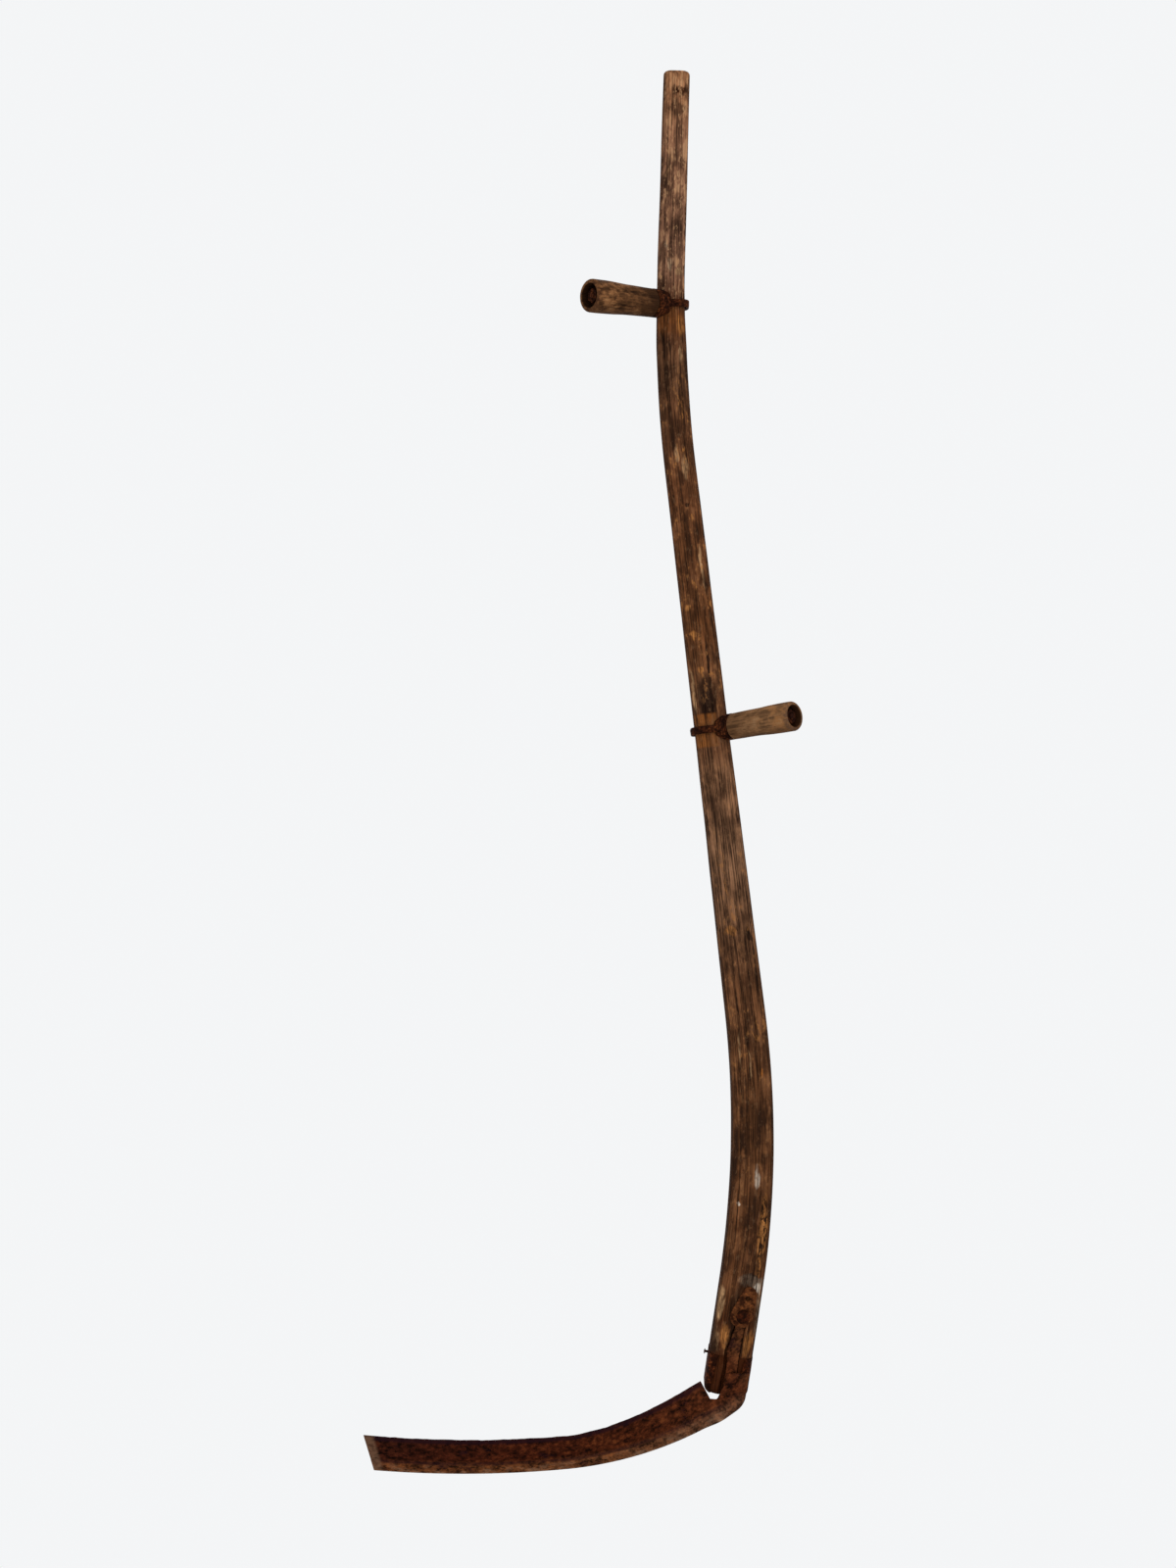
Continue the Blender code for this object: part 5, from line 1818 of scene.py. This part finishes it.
@dataclass
class Nib:
    """Grip clamped to the snath by a loop, with its saddle, collar, washer and nut."""

    prefix: str
    slot: Slot
    iron: bpy.types.Material
    wood: TurnedWood
    recess_radius: float
    recess_depth: float = 12 * MM
    lip: float = 1.2 * MM
    shank_radius: float = 4 * MM
    loop_wall: float = 4 * MM
    loop_half: float = 4 * MM
    clearance: float = 0.4 * MM
    bore_play: float = 0.3 * MM
    grip_play: float = 0.6 * MM
    end_rounding: float = 4.5 * MM
    taper_steps: int = 24
    lip_turns: Tuple[int, ...] = (90, 72, 54, 36, 18, 0)
    hand_wear: float = 0.5 * MM
    hammered: float = 0.3 * MM
    corner_steps: int = 8
    columns: int = 4
    ring_step: float = 1.5 * MM
    strap_rounding: float = 1.9 * MM
    shank_bite: float = 1.3 * MM
    saddle_rounding: float = 0.5 * MM
    collar_rounding: float = 0.8 * MM
    washer_rounding: float = 0.3 * MM

    def __post_init__(self) -> None:
        """Read the nib's axis from its joints."""
        turn, slide = joint(self.prefix + "_grip_turn"), joint(self.prefix + "_nib_slide")
        out = -Vector(turn["axis"]).normalized()
        up = Vector(slide["axis"])
        up = (up - out * up.dot(out)).normalized()
        self.local = axes(up.cross(out), up, out, Vector(turn["pos_m"]))

    def node(self, kind: str) -> str:
        """Name of one of the nib's CAD nodes."""
        return f"{self.prefix}_nib_{kind}"

    def _show(self, kind: str, body: str, mesh: bpy.types.Mesh, sharp: float = 40.0) -> None:
        """Show an iron of the nib on its body, sharp past an angle, in its CAD node's place."""
        name, rides = f"{self.prefix}_{kind}_worn", f"{self.prefix}_{body}"
        Piece(name, rides, Slot.FITTINGS, (self.node(kind),), sharp).show(mesh, self.iron)

    def grip(self) -> None:
        """Make the turned grip with its bore and its hollowed end."""
        low, high = measured(self.node("grip"), self.local)
        base = measured(self.node("collar"), self.local)[1].x
        wide, bore = max(high.x, -low.x), self.shank_radius + self.grip_play
        lip_radius = self.recess_radius + self.lip
        rounding = min(self.end_rounding, wide - lip_radius)
        swell = high.z - rounding
        profile = [(lip_radius, high.z)] if lip_radius < wide - rounding else []
        for turn in self.lip_turns:
            angle = math.radians(turn)
            radius = wide - rounding + rounding * math.cos(angle)
            profile.append((radius, swell + rounding * math.sin(angle)))
        for step in range(1, self.taper_steps):
            share = step / self.taper_steps
            ease = share * share * (3 - 2 * share)
            profile.append((wide + (base - wide) * ease, swell + (low.z - swell) * share))
        floor = high.z - self.recess_depth
        profile += [
            (base, low.z + 1 * MM), (base - 1 * MM, low.z), (bore, low.z), (bore, floor),
            (self.recess_radius, floor), (self.recess_radius, high.z - self.lip),
        ]
        bm = turned(profile, ring=True, steps=72)
        for vert in bm.verts:
            reach = vert.co.xy.length
            if reach > self.recess_radius + 0.5 * MM:
                place = Vector((vert.co.x * 55, vert.co.y * 55, vert.co.z * 40 + len(self.prefix)))
                worn = min(0.0, self.hand_wear * noise.noise(place) - 0.08 * MM)
                vert.co.xy = vert.co.xy * (1 + worn / reach)
        inverse = self.local.inverted()
        finish = self.wood.make(low.z, high.z, wide, self.recess_radius)
        name, body = f"{self.prefix}_grip_worn", f"{self.prefix}_grip"
        piece = Piece(name, body, self.slot, (self.node("grip"),), sharp=45)
        piece.show(to_mesh(bm, self.local), finish, lambda point: inverse @ point)

    def loop(self, snath: Snath, station: float) -> None:
        """Make the flat iron loop round the snath, with its shank.

        Args:
            snath: the snath that it clamps.
            station: its distance from the snath's top end.
        """
        around = snath.frame(station)
        side, corner = between(snath.sections, station)
        half, corner = side / 2 + self.clearance, corner + self.clearance

        def place(point: Vector, height: float) -> Vector:
            """Place on the inside of the strap of a point of the plan at a height."""
            return Vector((*on_plan(point, half, corner), height))

        heights = spread(-self.loop_half, self.loop_half, self.ring_step)
        bm = sweep(rounded_plan(self.corner_steps, self.columns), heights, place, capped=False)
        thicken(bm, self.loop_wall, Vector())
        soften(bm, self.strap_rounding, segments=5, limit=60)
        for vert in bm.verts:
            if vert.co.xy.length > half:
                hammered = self.hammered * noise.noise(vert.co * 140 + Vector((station, 0, 0)))
                vert.co.xy = vert.co.xy * (1 + min(0.0, hammered) / vert.co.xy.length)
        top = measured(self.node("loop"), self.local)[1].z
        root = half + self.loop_wall - self.shank_bite
        radius = self.shank_radius
        profile = ((0.0, top), (radius - 1 * MM, top), (radius, top - 1 * MM), (radius, root), (0.0, root))
        mesh = combine(to_mesh(bm, around), to_mesh(turned(profile, steps=40), self.local), Work.JOIN)
        self._show("loop", "clamp", mesh, 35)

    def irons(self) -> None:
        """Make the saddle, collar, washer and nut."""
        saddle = copied(self.node("saddle"))
        soften(saddle, self.saddle_rounding, limit=50)
        self._show("saddle", "clamp", to_mesh(saddle), 35)
        bore = self.shank_radius + self.bore_play
        rings = (("collar", "collar", self.collar_rounding), ("washer", "grip", self.washer_rounding))
        for kind, body, width in rings:
            self._show(kind, body, flat_ring(self.node(kind), self.local, bore, width, segments=3))
        self._show("nut", "grip", flat_nut(self.node("nut"), self.local, bore, 6))

    def build(self, snath: Snath, station: float) -> None:
        """Make the whole nib.

        Args:
            snath: the snath that it clamps.
            station: its distance from the snath's top end.
        """
        self.grip()
        self.loop(snath, station)
        self.irons()


# ---------------------------------------------------------------- studio


@dataclass(frozen=True)
class Light:
    """Soft area light, as wide as it is high."""

    name: str
    place: Tuple[float, float, float]
    watts: float
    size: float
    tint: Colour

    def hang(self, aim: Vector) -> None:
        """Hang it so that it faces a point.

        Args:
            aim: the point.
        """
        data = bpy.data.lights.new(self.name, "AREA")
        data.energy = self.watts
        data.size = self.size
        data.color = self.tint
        item = bpy.data.objects.new(self.name, data)
        item.location = self.place
        item.rotation_euler = (aim - Vector(self.place)).to_track_quat("-Z", "Y").to_euler()
        bpy.context.scene.collection.objects.link(item)


@dataclass
class Studio:
    """Pale ground, soft lights and the camera."""

    camera_place: Tuple[float, float, float] = (-0.07278, -3.5, -0.49237)
    lens: float = 75.82
    ground_drop: float = 0.38
    ground_reach: float = 1.1
    aim: Tuple[float, float, float] = (0.0, 0.0, -0.45)
    room: Colour = (0.905, 0.915, 0.925)
    lights: Tuple[Light, ...] = (
        Light("key", (2.0, -2.6, 1.6), 26, 1.2, (1.0, 0.985, 0.96)),
        Light("fill", (-2.4, -2.2, 0.2), 5, 2.0, (0.95, 0.975, 1.0)),
        Light("back", (0.8, 2.4, 1.2), 12, 1.6, (1.0, 1.0, 1.0)),
    )

    def ground(self) -> None:
        """Lay the ground well below the scythe."""
        low, high = CAD_BOX
        bm = bmesh.new()
        bmesh.ops.create_circle(bm, cap_ends=True, segments=96, radius=self.ground_reach)
        centre = (low + high) / 2
        bmesh.ops.translate(bm, verts=bm.verts, vec=(centre.x, centre.y, low.z - self.ground_drop))
        mesh = to_mesh(bm)
        mesh.materials.append(PaleGround().make())
        item = bpy.data.objects.new("ground", mesh)
        bpy.context.scene.collection.objects.link(item)

    def build(self) -> None:
        """Set up the ground, the lights, the world and the camera."""
        scene = bpy.context.scene
        scene.view_settings.view_transform = "Standard"
        self.ground()
        for light in self.lights:
            light.hang(Vector(self.aim))
        world = bpy.data.worlds.new("pale_room")
        world.use_nodes = True
        back = world.node_tree.nodes["Background"]
        back.inputs["Color"].default_value = (*self.room, 1.0)
        back.inputs["Strength"].default_value = 1.0
        scene.world = world
        data = bpy.data.cameras.new("camera")
        data.lens = self.lens
        camera = bpy.data.objects.new("camera", data)
        camera.location = self.camera_place
        camera.rotation_euler = (math.pi / 2, 0.0, 0.0)
        scene.collection.objects.link(camera)
        scene.camera = camera


UPPER_WOOD = TurnedWood(
    "upper_grip_wood", base=(0.088, 0.037, 0.014), dark=(0.014, 0.0045, 0.0018), pale=(0.36, 0.19, 0.085),
    glow=(0.270, 0.120, 0.046), rim=(0.050, 0.020, 0.010), rim_share=0.7, root_share=0.8, streak_share=0.4,
    mottle=1.0,
)
LOWER_WOOD = TurnedWood(
    "lower_grip_wood", base=(0.172, 0.084, 0.036), dark=(0.024, 0.008, 0.003), pale=(0.30, 0.170, 0.084),
    glow=(0.270, 0.112, 0.034), rim=(0.085, 0.045, 0.028), rim_share=0.75, root_share=0.45,
    streak_share=0.2, mottle=0.5,
)
PLATE_IRON = RustedIron("plate_iron", (0.030, 0.0085, 0.0030), (0.104, 0.0330, 0.0105), 0.25, contrast=0.7)
BAND_IRON = RustedIron("band_iron", (0.016, 0.0038, 0.0015), (0.056, 0.0125, 0.0036), 0.3)
BOLT_IRON = RustedIron("bolt_iron", (0.014, 0.0038, 0.0016), (0.040, 0.0085, 0.0026), 0.1, contrast=0.7)
NIB_IRON = RustedIron("nib_iron", (0.014, 0.0038, 0.0018), (0.046, 0.012, 0.0042), 0.22)


def main() -> None:
    """Build every piece in order."""
    logging.basicConfig(level=logging.INFO, format="%(message)s")
    Studio().build()
    plate_iron, band_iron = PLATE_IRON.make(), BAND_IRON.make()
    bolt_iron, nib_iron = BOLT_IRON.make(), NIB_IRON.make()
    snath = Snath()
    snath.build()
    FootIrons(snath, band_iron, plate_iron, bolt_iron).build()
    Blade(snath).build()
    Nib("upper", Slot.UPPER_GRIP, nib_iron, UPPER_WOOD, 12.8 * MM).build(snath, snath.upper_nib)
    Nib("lower", Slot.LOWER_GRIP, nib_iron, LOWER_WOOD, 11.4 * MM).build(snath, snath.lower_nib)


if __name__ == "__main__":
    main()
